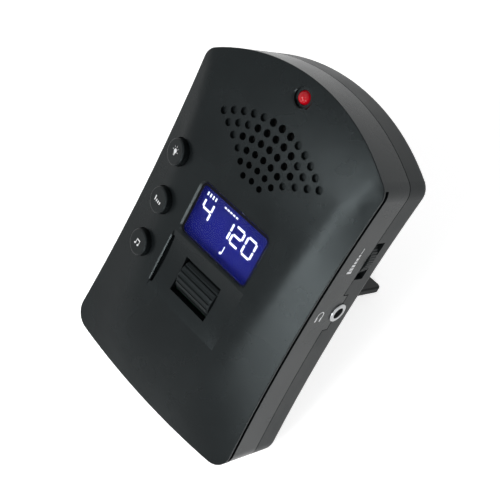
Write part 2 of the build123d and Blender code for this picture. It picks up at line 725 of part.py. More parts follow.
def joint_lip():
    """Locating lip of the back shell, open at the volume wheel and the socket."""
    lip = slab(outline(WALL + FIT), PARTING - LIP_H, PARTING)
    lip += slab(outline(WALL - MERGE), PARTING, PARTING + LIP_ROOT)
    lip -= slab(outline(WALL + FIT + LIP_T), -FAR, FAR)
    slot_half = SLOT_HALF + LIP_ROOT
    lip -= slab(band(0, FAR, VOLUME_Z - slot_half, VOLUME_Z + slot_half), -FAR, FAR)
    tongue_half = TONGUE_HALF + LIP_T
    return lip - slab(band(0, FAR, JACK_Z - tongue_half, JACK_Z + tongue_half), -FAR, FAR)


def stand_walls():
    """Walls round the stand's recess, its hinge pocket and its finger notch."""
    half = RECESS_HALF + LUG_T
    top = RECESS_TOP + RECESS_WALL
    floor = RECESS_FLOOR - RECESS_WALL
    rear = BACK_INNER + MERGE
    walls = slab(band(-half, half, RECESS_FOOT - RECESS_WALL, top), floor, rear)
    walls += slab(band(-half, half, POCKET_FOOT - RECESS_WALL, top), POCKET_FLOOR - RECESS_WALL, rear)
    return walls + slab(disc(0, RECESS_FOOT, NOTCH_R + RECESS_WALL), floor, rear)


def tab_slots():
    """Slots behind the back wall for the door's two tabs."""
    cuts = []
    for sign in (-1, 1):
        left = sign * TAB_X - TAB_W / 2 - TAB_ROOM
        right = sign * TAB_X + TAB_W / 2 + TAB_ROOM
        front = TAB_FRONT - TAB_SWING
        cuts.append(slab(band(left, right, TRAY_TOP - MERGE, TAB_HIGH + TAB_ROOM), front, BACK_INNER))
        cuts.append(slab(band(left, right, TRAY_TOP - MERGE, DOOR_TOP), front, DOOR_INNER))
    return cuts


def back_shell():
    """Back half of the case: lip, tray for the cells, stand recess, screw columns."""
    shell = case_solid() - front_zone() - jack_tongue(REVEAL) - cavity()
    shell += joint_lip()
    shell += stand_walls()
    tray_half = TRAY_HALF + TRAY_WALL
    tray = band(-tray_half, tray_half, TRAY_FOOT - TRAY_WALL, TRAY_TOP + TRAY_WALL)
    shell += slab(tray, TRAY_FRONT, BACK_INNER + MERGE)
    for x, z in BOSS_PLACES:
        shell += slab(disc(x, z, COLUMN_R), BOSS_MEET, BACK_INNER + MERGE)
    pin_end = RECESS_HALF + PIN_SEAT
    slot = band(VOLUME_X, FAR, VOLUME_Z - SLOT_HALF, VOLUME_Z + SLOT_HALF)
    cuts = [
        slab(band(-TRAY_HALF, TRAY_HALF, TRAY_FOOT, TRAY_TOP), TRAY_FRONT + TRAY_FLOOR, FAR),
        slab(band(-DOOR_HALF, DOOR_HALF, DOOR_FOOT, DOOR_TOP), DOOR_INNER, FAR),
        slab(band(-RECESS_HALF, RECESS_HALF, RECESS_FOOT, RECESS_TOP), RECESS_FLOOR, FAR),
        slab(band(-RECESS_HALF, RECESS_HALF, POCKET_FOOT, RECESS_TOP), POCKET_FLOOR, FAR),
        slab(disc(0, RECESS_FOOT, NOTCH_R), RECESS_FLOOR, FAR),
        rod_x(STAND_Y, STAND_Z, PIN_R, -pin_end, pin_end),
        slab(slot, PARTING - LIP_H, VOLUME_BACK + SLOT_BACK_GAP),
        socket_hole(),
        parting_reveal(),
        rod_x(BATTERY_WIRE_Y, BATTERY_WIRE_Z, WIRE_R + WIRE_SLIP, TRAY_HALF - MERGE, tray_half + MERGE),
    ]
    cuts += tab_slots()
    for x, z in BOSS_PLACES:
        cuts.append(slab(disc(x, z, SCREW_R + SCREW_SLIP), BOSS_MEET, HEAD_FLOOR))
        cuts.append(slab(disc(x, z, SCREW_HEAD_R + HEAD_SLIP), HEAD_FLOOR, FAR))
    return cut_all(shell, cuts)


def battery_door():
    """Door with a round hinge edge and two tabs at its top, and finger ribs at its foot."""
    half = DOOR_HALF - DOOR_GAP
    top = DOOR_TOP - DOOR_GAP
    foot = DOOR_FOOT + DOOR_GAP
    hinge_y, hinge_z = DOOR_HINGE
    door = slab(band(-half, half, foot, hinge_z), DOOR_INNER, CASE_BACK)
    door += rod_x(hinge_y, hinge_z, DOOR_T / 2, -half, half)
    for sign in (-1, 1):
        left = sign * TAB_X - TAB_W / 2
        right = sign * TAB_X + TAB_W / 2
        door += slab(band(left, right, TAB_LOW, top), TAB_FRONT, hinge_y)
        door += slab(band(left, right, TAB_LOW, TAB_HIGH), TAB_FRONT, TAB_BACK)
    for index in range(GRIP_RIBS):
        z = foot + GRIP_UP + index * GRIP_PITCH
        door -= slab(panel(0, z, GRIP_W, GRIP_RIB), CASE_BACK - GRIP_DEPTH, FAR)
    return door


def stand_leg():
    """Leg that turns on its pin, drawn open and square to the back."""
    plane = Plane((0, 0, STAND_TOP - STAND_T))
    face = Pos(0, STAND_Y + STAND_LENGTH / 2) * Rectangle(2 * STAND_HALF, STAND_LENGTH)
    face = fillet(face.vertices().sort_by(Axis.Y)[-2:], STAND_CORNER_R)
    leg = extrude(plane * face, amount=STAND_T)
    rims = leg.faces().sort_by(Axis.Z)[0].edges() + leg.faces().sort_by(Axis.Z)[-1].edges()
    leg = fillet(rims.filter_by(lambda edge: edge.center().Y > STAND_Y + KNUCKLE_R), STAND_EDGE_R)
    leg += rod_x(STAND_Y, STAND_Z, KNUCKLE_R, -STAND_HALF, STAND_HALF)
    return leg - rod_x(STAND_Y, STAND_Z, PIN_R + RUNNING, -FAR, FAR)


def stand_pin():
    """Pin pressed into both lugs of the back shell."""
    end = RECESS_HALF + PIN_SEAT
    return rod_x(STAND_Y, STAND_Z, PIN_R, -end, end)


def lcd_lens():
    """Clear lens behind the display window, with a raised middle that fills it."""
    lens = slab(panel(0, LCD_Z, LENS_W, LENS_H), LENS_FRONT, LENS_FRONT + LENS_T)
    width, height = LCD_W - 2 * LENS_SLIP, LCD_H - 2 * LENS_SLIP
    middle = Pos(0, LCD_Z) * RectangleRounded(width, height, LCD_CORNER_R - LENS_SLIP)
    return lens + slab(middle, LENS_FACE, LENS_FRONT)


def lcd_glass():
    """Display cell."""
    return slab(panel(0, LCD_Z, GLASS_W, GLASS_H), GLASS_FRONT, GLASS_BACK)


def lcd_backlight():
    """Light block behind the glass, above the contact strip."""
    foot = LCD_Z - GLASS_H / 2 + CONNECTOR_W + FIT
    face = band(-GLASS_W / 2, GLASS_W / 2, foot, LCD_Z + GLASS_H / 2)
    return slab(face, GLASS_BACK, BOARD_FRONT - STACK_GAP)


def zebra_strip():
    """Conductive rubber between the glass and the board."""
    half = GLASS_W / 2 - CONNECTOR_ENDS
    foot = LCD_Z - GLASS_H / 2
    return slab(band(-half, half, foot, foot + CONNECTOR_W), GLASS_BACK, BOARD_FRONT)


def lcd_holder():
    """Frame round the display stack, from the front wall to the board."""
    face = panel(0, LCD_Z, HOLDER_W, HOLDER_H) - panel(0, LCD_Z, LENS_W + 2 * FIT, LENS_H + 2 * FIT)
    return slab(face, LENS_FRONT, BOARD_FRONT)


def main_board():
    """Printed board with two upright arms, a gap for the roller and screw holes."""
    face = band(-BOARD_HALF, BOARD_HALF, BOARD_FOOT, BOARD_TOP)
    face += band(-BOARD_HALF, -BOARD_ARM_IN, BOARD_FOOT, BOARD_ARM_LEFT)
    face += band(BOARD_ARM_IN, BOARD_HALF, BOARD_FOOT, BOARD_ARM_RIGHT)
    face -= panel(0, WHEEL_Z, WHEEL_W + 2 * BOARD_CUT_GAP, 2 * (WHEEL_R + BOARD_CUT_GAP))
    for x, z in POST_PLACES:
        face -= disc(x, z, BOARD_SCREW_R + SCREW_SLIP)
    return slab(face, BOARD_FRONT, BOARD_BACK)


def block_on_board(place, size):
    """Box on the back of the board."""
    width, height, thick = size
    return slab(panel(place[0], place[1], width, height), BOARD_BACK, BOARD_BACK + thick)


def capacitors():
    """Row of round capacitors on the back of the board."""
    row = [slab(disc((i - (CAP_COUNT - 1) / 2) * CAP_PITCH, CAP_Z, CAP_R), BOARD_BACK, BOARD_BACK + CAP_H)
           for i in range(CAP_COUNT)]
    return Part() + row


def speaker_turned(profile):
    """Solid of revolution about the speaker's axis; profile is radius and depth."""
    plane = Plane((0, 0, SPEAKER_Z), x_dir=(1, 0, 0), z_dir=(0, 0, 1))
    face = make_face(Polyline(*profile, close=True))
    return revolve(plane * face, Axis((0, 0, SPEAKER_Z), (0, 1, 0)))


def speaker_frame():
    """Front rim and conical basket with a flat back."""
    inner = SPEAKER_R - SPEAKER_RIM
    rim_back = SPEAKER_SEAT + SPEAKER_RIM_T
    return speaker_turned([
        (inner, SPEAKER_SEAT),
        (SPEAKER_R, SPEAKER_SEAT),
        (SPEAKER_R, rim_back),
        (inner + BASKET_WALL, rim_back),
        (BASKET_R, MAGNET_FRONT),
        (POLE_R, MAGNET_FRONT),
        (POLE_R, MAGNET_FRONT - BASKET_WALL),
        (BASKET_R - BASKET_WALL, MAGNET_FRONT - BASKET_WALL),
        (inner, rim_back),
    ])


def speaker_cone():
    """Paper cone, hung in the rim."""
    inner = SPEAKER_R - SPEAKER_RIM
    edge = SPEAKER_SEAT + SPEAKER_RIM_T / 2
    return speaker_turned([
        (inner, edge),
        (inner, edge + CONE_T),
        (POLE_R, edge + CONE_T + CONE_DEPTH),
        (0, edge + CONE_T + CONE_DEPTH / 2),
        (0, edge + CONE_DEPTH / 2),
        (POLE_R, edge + CONE_DEPTH),
    ])


def speaker_magnet():
    """Magnet on the back of the basket."""
    return slab(disc(0, SPEAKER_Z, MAGNET_R), MAGNET_FRONT, SPEAKER_BACK)


def speaker_cloth():
    """Dust cloth between the grille and the speaker."""
    radius = SPEAKER_R - SPEAKER_RIM / 2 - FIT
    return slab(disc(0, SPEAKER_Z, radius), SPEAKER_SEAT - CLOTH_T, SPEAKER_SEAT)


def led():
    """Domed red lamp with its flange."""
    lamp = slab(disc(0, LED_Z, LED_R), LED_FRONT + LED_R, LED_BACK)
    lamp += Pos(0, LED_FRONT + LED_R, LED_Z) * Sphere(LED_R)
    return lamp + slab(disc(0, LED_Z, LED_FLANGE_R), LED_SEAT, LED_BACK)


def led_leads():
    """Two legs from the lamp to its board."""
    legs = [slab(disc(sign * LEAD_GAP / 2, LED_Z, LEAD_R), LED_BACK, BOARD_FRONT) for sign in (-1, 1)]
    return Part() + legs


def led_board():
    """Small board behind the lamp, on two posts."""
    return slab(panel(0, LED_Z, LED_BOARD_W, LED_BOARD_H), BOARD_FRONT, BOARD_BACK)


def wire(points, bend):
    """Round wire along straight runs joined by arcs."""
    path = FilletPolyline(*points, radius=bend)
    start = Vector(*points[0])
    heading = Vector(*points[1]) - start
    section = Plane(start, z_dir=heading) * Circle(WIRE_R)
    return sweep(section, path=path)


def led_wires():
    """Wire from the lamp's board to the top edge of the main board."""
    depth = (BOARD_FRONT + BOARD_BACK) / 2
    start = (LED_BOARD_W / 2, depth, LED_Z)
    first = (LED_BOARD_W / 2 + LED_WIRE_OUT, depth, LED_Z)
    second = (LED_WIRE_X, depth, LED_WIRE_Z)
    end = (LED_WIRE_X, depth, BOARD_ARM_RIGHT)
    return wire([start, first, second, end], WIRE_BEND)


def speaker_wires():
    """Wire from the speaker's rim to the left arm of the board."""
    start_depth = SPEAKER_SEAT + SPEAKER_RIM_T
    run_depth = SPEAKER_SEAT + FENCE_H + 2 * WIRE_R + WIRE_SLIP
    x, z = SPEAKER_WIRE_X, SPEAKER_Z - SPEAKER_WIRE_DROP
    end_x, end_z = POST_LEFT[0] + SPEAKER_WIRE_END[0], POST_LEFT[1] + SPEAKER_WIRE_END[1]
    points = [(x, start_depth, z), (x, run_depth, z), (end_x, run_depth, end_z), (end_x, BOARD_FRONT, end_z)]
    return wire(points, SHORT_BEND)


def battery_wires():
    """Wire from the top contacts, through the tray's wall, to the board."""
    start = (CELL_PITCH / 2 + CONTACT_W / 2, BATTERY_WIRE_Y, BATTERY_WIRE_Z)
    first = (TRAY_HALF + TRAY_WALL + BATTERY_WIRE_OUT, BATTERY_WIRE_Y, BATTERY_WIRE_Z)
    second = (BATTERY_WIRE_X, BATTERY_WIRE_Y, BATTERY_WIRE_KNEE)
    third = (BATTERY_WIRE_X, BATTERY_WIRE_Y, BATTERY_WIRE_END)
    end = (BATTERY_WIRE_X, BOARD_BACK, BATTERY_WIRE_END)
    return wire([start, first, second, third, end], WIRE_BEND)


def battery_cells():
    """Two cells side by side, one of them upside down."""
    cells = []
    for sign in (-1, 1):
        x = sign * CELL_PITCH / 2
        cell = rod_z(x, CELL_Y, CELL_R, CELL_FOOT, CELL_FOOT + CELL_LENGTH)
        cell += rod_z(x, CELL_Y, CELL_NUB_R, CELL_FOOT + CELL_LENGTH, CELL_FOOT + CELL_LENGTH + CELL_NUB)
        cells.append(cell)
    return Part() + cells


def rod_z(x, y, radius, z_low, z_high):
    """Cylinder along Z."""
    return extrude(Plane((x, y, z_low)) * Circle(radius), amount=z_high - z_low)


def battery_contacts():
    """Plates at the top of the tray and sprung leaves at its foot."""
    front = TRAY_FRONT + TRAY_FLOOR
    back = DOOR_INNER - CONTACT_RISE
    nub_end = CELL_FOOT + CELL_LENGTH + CELL_NUB
    pieces = []
    for sign in (-1, 1):
        x = sign * CELL_PITCH / 2
        left = x - CONTACT_W / 2
        right = x + CONTACT_W / 2
        plate = slab(band(left, right, TRAY_TOP - CONTACT_T, TRAY_TOP), front, back)
        plate += rod_z(x, CELL_Y, CELL_NUB_R, nub_end, TRAY_TOP)
        leaf = slab(band(left, right, TRAY_FOOT, TRAY_FOOT + CONTACT_T), front, back)
        leaf += slab(band(left, right, TRAY_FOOT, CELL_FOOT), front, front + CONTACT_T)
        leaf += slab(band(left, right, CELL_FOOT - CONTACT_T, CELL_FOOT), front, CELL_Y + CELL_NUB_R)
        pieces += [plate, leaf]
    return Part() + pieces


def button(index):
    """Cap cut parallel to the flank, with a retaining flange and a plunger."""
    x, z = BUTTON_PLACES[index]
    slope = (CROWN - RIM_H) / flank_width(z)
    normal = Vector(-slope, -1, 0)
    top = Plane((x, -front_height(x, z) - BUTTON_PROUD, z), x_dir=(0, 0, 1), z_dir=normal)
    behind = extrude(top * Circle(2 * FLANGE_R), amount=-FAR)
    cap = slab(disc(x, z, BUTTON_R), -FAR, FLANGE_FRONT) & behind
    cap = fillet(cap.faces().sort_by(Axis.Y)[0].edges(), BUTTON_EDGE_R)
    cap += slab(disc(x, z, FLANGE_R), FLANGE_FRONT, FLANGE_FRONT + FLANGE_T)
    return cap + slab(disc(x, z, PLUNGER_R), FLANGE_FRONT + FLANGE_T, STEM_FRONT)


def switch_stem(index):
    """Stem of a push switch, moved by its button."""
    x, z = BUTTON_PLACES[index]
    return slab(disc(x, z, STEM_R), STEM_FRONT, SWITCH_FRONT + STEM_SUNK)


def switch_bases():
    """Bodies of the three push switches."""
    bases = []
    for x, z in BUTTON_PLACES:
        base = slab(panel(x, z, SWITCH_W, SWITCH_W), SWITCH_FRONT, BOARD_FRONT)
        well = SWITCH_FRONT + STEM_SUNK + BUTTON_TRAVEL + STEM_ROOM
        bases.append(base - slab(disc(x, z, STEM_R + STEM_SLIP), SWITCH_FRONT, well))
    return Part() + bases


def tempo_wheel():
    """Ribbed roller."""
    half = WHEEL_W / 2
    wheel = rod_x(WHEEL_Y, WHEEL_Z, WHEEL_R, -half, half)
    ends = wheel.edges().filter_by(GeomType.CIRCLE)
    wheel = chamfer(ends, WHEEL_BEVEL)
    grooves = []
    for index in range(WHEEL_RIBS):
        angle = 2 * pi * index / WHEEL_RIBS
        y = WHEEL_Y + WHEEL_R * cos(angle)
        z = WHEEL_Z + WHEEL_R * sin(angle)
        grooves.append(rod_x(y, z, RIB_GROOVE_R, -half, half))
    wheel = cut_all(wheel, grooves)
    return wheel - rod_x(WHEEL_Y, WHEEL_Z, AXLE_R, -half, half)


def wheel_axle():
    """Axle from the bracket through the roller into the encoder."""
    half = WHEEL_W / 2 + WHEEL_END_GAP
    return rod_x(WHEEL_Y, WHEEL_Z, AXLE_R, -half - BRACKET_T, half + AXLE_IN_ENCODER)


def axle_bracket():
    """Bearing block at the left end of the axle."""
    right = -WHEEL_W / 2 - WHEEL_END_GAP
    face = band(right - BRACKET_T, right, WHEEL_Z - BRACKET_H / 2, WHEEL_Z + BRACKET_H / 2)
    block = slab(face, WHEEL_Y - BRACKET_TOP, BOARD_FRONT)
    return block - rod_x(WHEEL_Y, WHEEL_Z, AXLE_R + RUNNING, right - BRACKET_T, right)


def encoder_body():
    """Turn sensor at the right end of the axle."""
    left = WHEEL_W / 2 + WHEEL_END_GAP
    face = band(left, left + ENCODER_T, WHEEL_Z - ENCODER_H / 2, WHEEL_Z + ENCODER_H / 2)
    block = slab(face, WHEEL_Y - BRACKET_TOP, BOARD_FRONT)
    depth = AXLE_IN_ENCODER + RUNNING
    return block - rod_x(WHEEL_Y, WHEEL_Z, AXLE_R + RUNNING, left, left + depth)


def volume_wheel():
    """Thumbwheel with a toothed rim."""
    wheel = slab(disc(VOLUME_X, VOLUME_Z, VOLUME_R), VOLUME_FRONT, VOLUME_BACK)
    grooves = []
    for index in range(VOLUME_TEETH):
        angle = 2 * pi * index / VOLUME_TEETH
        x = VOLUME_X + VOLUME_R * cos(angle)
        z = VOLUME_Z + VOLUME_R * sin(angle)
        grooves.append(slab(disc(x, z, TOOTH_GROOVE_R), VOLUME_FRONT, VOLUME_BACK))
    wheel = cut_all(wheel, grooves)
    return wheel - slab(disc(VOLUME_X, VOLUME_Z, SHAFT_R), VOLUME_FRONT, VOLUME_BACK)


def volume_shaft():
    """Shaft of the potentiometer, with a shoulder under the wheel."""
    shaft = slab(disc(VOLUME_X, VOLUME_Z, SHAFT_R), POT_BACK - SHAFT_DEPTH, VOLUME_BACK)
    shaft += slab(disc(VOLUME_X, VOLUME_Z, SHOULDER_R), POT_BACK + SHOULDER_GAP, VOLUME_FRONT)
    return shaft - slab(disc(VOLUME_X, VOLUME_Z, VOLUME_SCREW_R), VOLUME_BACK - VOLUME_SCREW_L, VOLUME_BACK)


def volume_pot():
    """Body of the volume potentiometer on the back of the board."""
    body = slab(panel(VOLUME_X, VOLUME_Z, POT_W, POT_W), BOARD_BACK, POT_BACK)
    bore = disc(VOLUME_X, VOLUME_Z, SHAFT_R + RUNNING)
    return body - slab(bore, POT_BACK - SHAFT_DEPTH - RUNNING, POT_BACK)


def volume_screw():
    """Screw that holds the wheel on its shaft."""
    screw = slab(disc(VOLUME_X, VOLUME_Z, VOLUME_SCREW_R), VOLUME_BACK - VOLUME_SCREW_L, VOLUME_BACK)
    return screw + slab(disc(VOLUME_X, VOLUME_Z, VOLUME_HEAD_R), VOLUME_BACK, VOLUME_BACK + VOLUME_HEAD_T)


def jack_body():
    """Socket housing on two feet, with the plug's bore."""
    face = band(JACK_IN - JACK_END, BUSH_IN, JACK_Z - JACK_HALF_Z, JACK_Z + JACK_HALF_Z)
    body = slab(face, JACK_Y - JACK_HALF_Y, JACK_Y + JACK_HALF_Y)
    for left in (JACK_IN - JACK_END, BUSH_IN - JACK_FOOT_T):
        foot = band(left, left + JACK_FOOT_T, JACK_Z - JACK_HALF_Z, JACK_Z + JACK_HALF_Z)
        body += slab(foot, BOARD_BACK, JACK_Y - JACK_HALF_Y)
    return body - rod_x(JACK_Y, JACK_Z, JACK_BORE_R, JACK_IN, BUSH_IN)


def jack_bush():
    """Bright bush round the mouth of the socket."""
    bush = rod_x(JACK_Y, JACK_Z, BUSH_R, BUSH_IN, BUSH_OUT)
    rim = bush.edges().filter_by(GeomType.CIRCLE).sort_by(Axis.X)[-1]
    bush = fillet(rim, BUSH_EDGE_R)
    return bush - rod_x(JACK_Y, JACK_Z, JACK_BORE_R, BUSH_IN, BUSH_OUT)


def jack_contacts():
    """Three pins from the socket to the board."""
    pins = []
    middle = (JACK_IN - JACK_END + BUSH_IN) / 2
    for index in (-1, 0, 1):
        face = panel(middle + index * CONTACT_PITCH, JACK_Z, CONTACT_PIN, CONTACT_PIN)
        pins.append(slab(face, BOARD_BACK, JACK_Y - JACK_HALF_Y))
    return Part() + pins


def screw(x, z, radius, head_radius, tip, seat, head):
    """Screw along Y with a round head and a cross slot."""
    body = slab(disc(x, z, radius), tip, seat)
    body += slab(disc(x, z, head_radius), seat, seat + head)
    for width, height in ((head_radius, SLOT_W), (SLOT_W, head_radius)):
        body -= slab(panel(x, z, width, height), seat + head - SLOT_DEPTH, seat + head)
    return body


def case_screws():
    """Four screws from the back into the front shell's bosses."""
    tip = BOSS_MEET - SCREW_GRIP
    screws = [screw(x, z, SCREW_R, SCREW_HEAD_R, tip, HEAD_FLOOR, SCREW_HEAD_T) for x, z in BOSS_PLACES]
    return Part() + screws


def board_screws():
    """Four screws that hold the board on its posts."""
    tip = BOARD_FRONT - BOARD_SCREW_GRIP
    sizes = (BOARD_SCREW_R, BOARD_HEAD_R, tip, BOARD_BACK, BOARD_HEAD_T)
    screws = [screw(x, z, *sizes) for x, z in POST_PLACES]
    return Part() + screws


def lean_angle():
    """Angle by which the case leans back when foot and stand touch the table."""
    foot_y, foot_z = CASE_BACK - BACK_R, FOOT_Z + BACK_R
    leg_y, leg_z = STAND_FREE - STAND_EDGE_R, STAND_TOP - STAND_T + STAND_EDGE_R
    rise = atan2(leg_z - foot_z, leg_y - foot_y)
    apart = hypot(leg_z - foot_z, leg_y - foot_y)
    return rise - asin((STAND_EDGE_R - BACK_R) / apart)


def all_nodes():
    """Every piece by name, in the upright frame."""
    nodes = {
        "front_shell": front_shell(),
        "back_shell": back_shell(),
        "battery_door": battery_door(),
        "stand_leg": stand_leg(),
        "stand_pin": stand_pin(),
        "lcd_lens": lcd_lens(),
        "lcd_glass": lcd_glass(),
        "lcd_backlight": lcd_backlight(),
        "lcd_holder": lcd_holder(),
        "zebra_strip": zebra_strip(),
        "main_board": main_board(),
        "controller_chip": block_on_board(CHIP_AT, CHIP),
        "crystal": block_on_board(CRYSTAL_AT, CRYSTAL),
        "capacitors": capacitors(),
        "speaker_frame": speaker_frame(),
        "speaker_cone": speaker_cone(),
        "speaker_magnet": speaker_magnet(),
        "speaker_cloth": speaker_cloth(),
        "speaker_wires": speaker_wires(),
        "led": led(),
        "led_leads": led_leads(),
        "led_board": led_board(),
        "led_wires": led_wires(),
        "battery_cells": battery_cells(),
        "battery_contacts": battery_contacts(),
        "battery_wires": battery_wires(),
        "switch_bases": switch_bases(),
        "tempo_wheel": tempo_wheel(),
        "wheel_axle": wheel_axle(),
        "axle_bracket": axle_bracket(),
        "encoder_body": encoder_body(),
        "volume_wheel": volume_wheel(),
        "volume_shaft": volume_shaft(),
        "volume_pot": volume_pot(),
        "volume_screw": volume_screw(),
        "jack_body": jack_body(),
        "jack_bush": jack_bush(),
        "jack_contacts": jack_contacts(),
        "case_screws": case_screws(),
        "board_screws": board_screws(),
    }
    for index, name in enumerate(BUTTON_NAMES):
        nodes[name + "_button"] = button(index)
        nodes[name + "_switch_stem"] = switch_stem(index)
    return nodes


NODES = all_nodes()
TURN = Rot(-degrees(lean_angle()), 0, 0)
BOXES = [(TURN * NODES[name]).bounding_box() for name in ("front_shell", "back_shell", "stand_leg")]
SHIFT_Y = -(min(box.min.Y for box in BOXES) + max(box.max.Y for box in BOXES)) / 2
SHIFT_Z = -min(box.min.Z for box in BOXES)
LEAN = Pos(0, SHIFT_Y, SHIFT_Z) * TURN

os.makedirs("parts", exist_ok=True)
for node_name, shape in NODES.items():
    export_step(LEAN * shape, "parts/" + node_name + ".step")
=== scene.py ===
"""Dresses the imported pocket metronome: finishes, display, printed signs, studio and camera."""

import json
import logging
import math
from dataclasses import dataclass, field
from enum import Enum

import bmesh
import bpy
from bpy.types import Material, NodeTree, Object, ShaderNode, ShaderNodeTree
from mathutils import Matrix, Quaternion, Vector
from mathutils.bvhtree import BVHTree


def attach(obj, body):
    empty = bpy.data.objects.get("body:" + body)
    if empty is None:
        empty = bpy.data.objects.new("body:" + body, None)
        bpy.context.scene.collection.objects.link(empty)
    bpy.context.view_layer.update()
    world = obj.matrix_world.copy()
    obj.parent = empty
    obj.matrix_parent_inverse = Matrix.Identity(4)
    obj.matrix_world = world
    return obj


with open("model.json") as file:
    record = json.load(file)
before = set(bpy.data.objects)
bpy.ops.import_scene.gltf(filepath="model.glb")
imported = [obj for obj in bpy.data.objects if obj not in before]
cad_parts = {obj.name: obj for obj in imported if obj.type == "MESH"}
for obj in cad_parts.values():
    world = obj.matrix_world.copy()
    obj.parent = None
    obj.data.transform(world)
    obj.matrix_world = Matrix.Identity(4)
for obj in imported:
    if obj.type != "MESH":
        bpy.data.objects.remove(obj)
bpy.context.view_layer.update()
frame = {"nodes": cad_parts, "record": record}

log = logging.getLogger("metronome")

MM = 0.001

# Where the roller's axle lies in the case, in mm behind the front rim and over the waist
AXLE_DEPTH = 3.3
AXLE_HEIGHT = -11.454

# The tilt in degrees and the flatness of a printed note's head
NOTE_TURN = 25.0
NOTE_SQUASH = 0.75

# The cool cast of the black plastics' gloss
COOL_CAST = (0.84, 0.97, 1.0)


class Side(Enum):
    """The face of the case that a sign is printed on, by the way its ink looks out."""

    FRONT = (0.0, -1.0, 0.0)
    RIGHT = (1.0, 0.0, 0.0)


class Bar(Enum):
    """The seven bars of a digit: the middle in a cell from -1 to 1, and whether the bar is level."""

    TOP = (0.0, 1.0, True)
    UPPER_RIGHT = (1.0, 0.5, False)
    LOWER_RIGHT = (1.0, -0.5, False)
    BOTTOM = (0.0, -1.0, True)
    LOWER_LEFT = (-1.0, -0.5, False)
    UPPER_LEFT = (-1.0, 0.5, False)
    MIDDLE = (0.0, 0.0, True)


DIGIT_BARS: dict[str, tuple[Bar, ...]] = {
    "0": (Bar.TOP, Bar.UPPER_RIGHT, Bar.LOWER_RIGHT, Bar.BOTTOM, Bar.LOWER_LEFT, Bar.UPPER_LEFT),
    "1": (Bar.UPPER_RIGHT, Bar.LOWER_RIGHT),
    "2": (Bar.TOP, Bar.UPPER_RIGHT, Bar.MIDDLE, Bar.LOWER_LEFT, Bar.BOTTOM),
    "4": (Bar.UPPER_LEFT, Bar.MIDDLE, Bar.UPPER_RIGHT, Bar.LOWER_RIGHT),
}


@dataclass(frozen=True)
class LeaningCase:
    """The frame of the leaning case: across, into the case and up along it, in millimetres."""

    origin: Vector
    inward: Vector
    upward: Vector

    @classmethod
    def from_joints(cls, axle_depth: float, axle_height: float) -> "LeaningCase":
        """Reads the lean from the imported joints.

        Args:
            axle_depth: Depth of the roller's axle behind the front rim, in mm.
            axle_height: Height of the roller's axle over the waist, in mm.

        Returns:
            The frame of the case in the world.
        """
        joints = {joint["name"]: joint for joint in frame["record"]["behaviour"]["joints"]}
        inward = Vector(joints["beat_press"]["axis"]).normalized()
        upward = Vector((1.0, 0.0, 0.0)).cross(inward).normalized()
        axle = Vector(joints["tempo_turn"]["pos_m"])
        return cls(axle - (inward * axle_depth + upward * axle_height) * MM, inward, upward)

    def turn(self, way: tuple[float, float, float] | Vector) -> Vector:
        """Turns a direction of the case into the world."""
        return Vector((way[0], 0.0, 0.0)) + self.inward * way[1] + self.upward * way[2]

    def place(self, spot: tuple[float, float, float] | Vector) -> Vector:
        """Gives the world place of a spot of the case."""
        return self.origin + self.turn(spot) * MM

    def spot(self, place: Vector) -> Vector:
        """Gives the spot of the case, in mm, at a world place."""
        away = (place - self.origin) / MM
        return Vector((away.x, away.dot(self.inward), away.dot(self.upward)))


@dataclass(frozen=True)
class Carrier:
    """A CAD node that carries signs, searched by rays so that ink lies on its surface."""

    node: str

    def seat(self, case: LeaningCase, spot: tuple[float, float, float], side: Side) -> Matrix:
        """Finds where ink lies on the node.

        Args:
            case: The frame of the leaning case.
            spot: A spot of the case in mm, in front of the surface.
            side: The face that the ink is printed on.

        Returns:
            The matrix that carries a flat sign in mm, drawn in X and Y, to the surface.
        """
        tree = BVHTree.FromObject(frame["nodes"][self.node], bpy.context.evaluated_depsgraph_get())
        out = case.turn(side.value)
        point, normal, _, _ = tree.ray_cast(case.place(spot), -out)
        if point is None:
            raise ValueError(f"no surface of {self.node} under {spot}")
        if normal.dot(out) < 0.0:
            normal = -normal
        up = (case.upward - normal * case.upward.dot(normal)).normalized()
        across = up.cross(normal).normalized()
        turned = Matrix((across, up, normal)).transposed().to_4x4()
        return Matrix.Translation(point) @ turned @ Matrix.Scale(MM, 4)


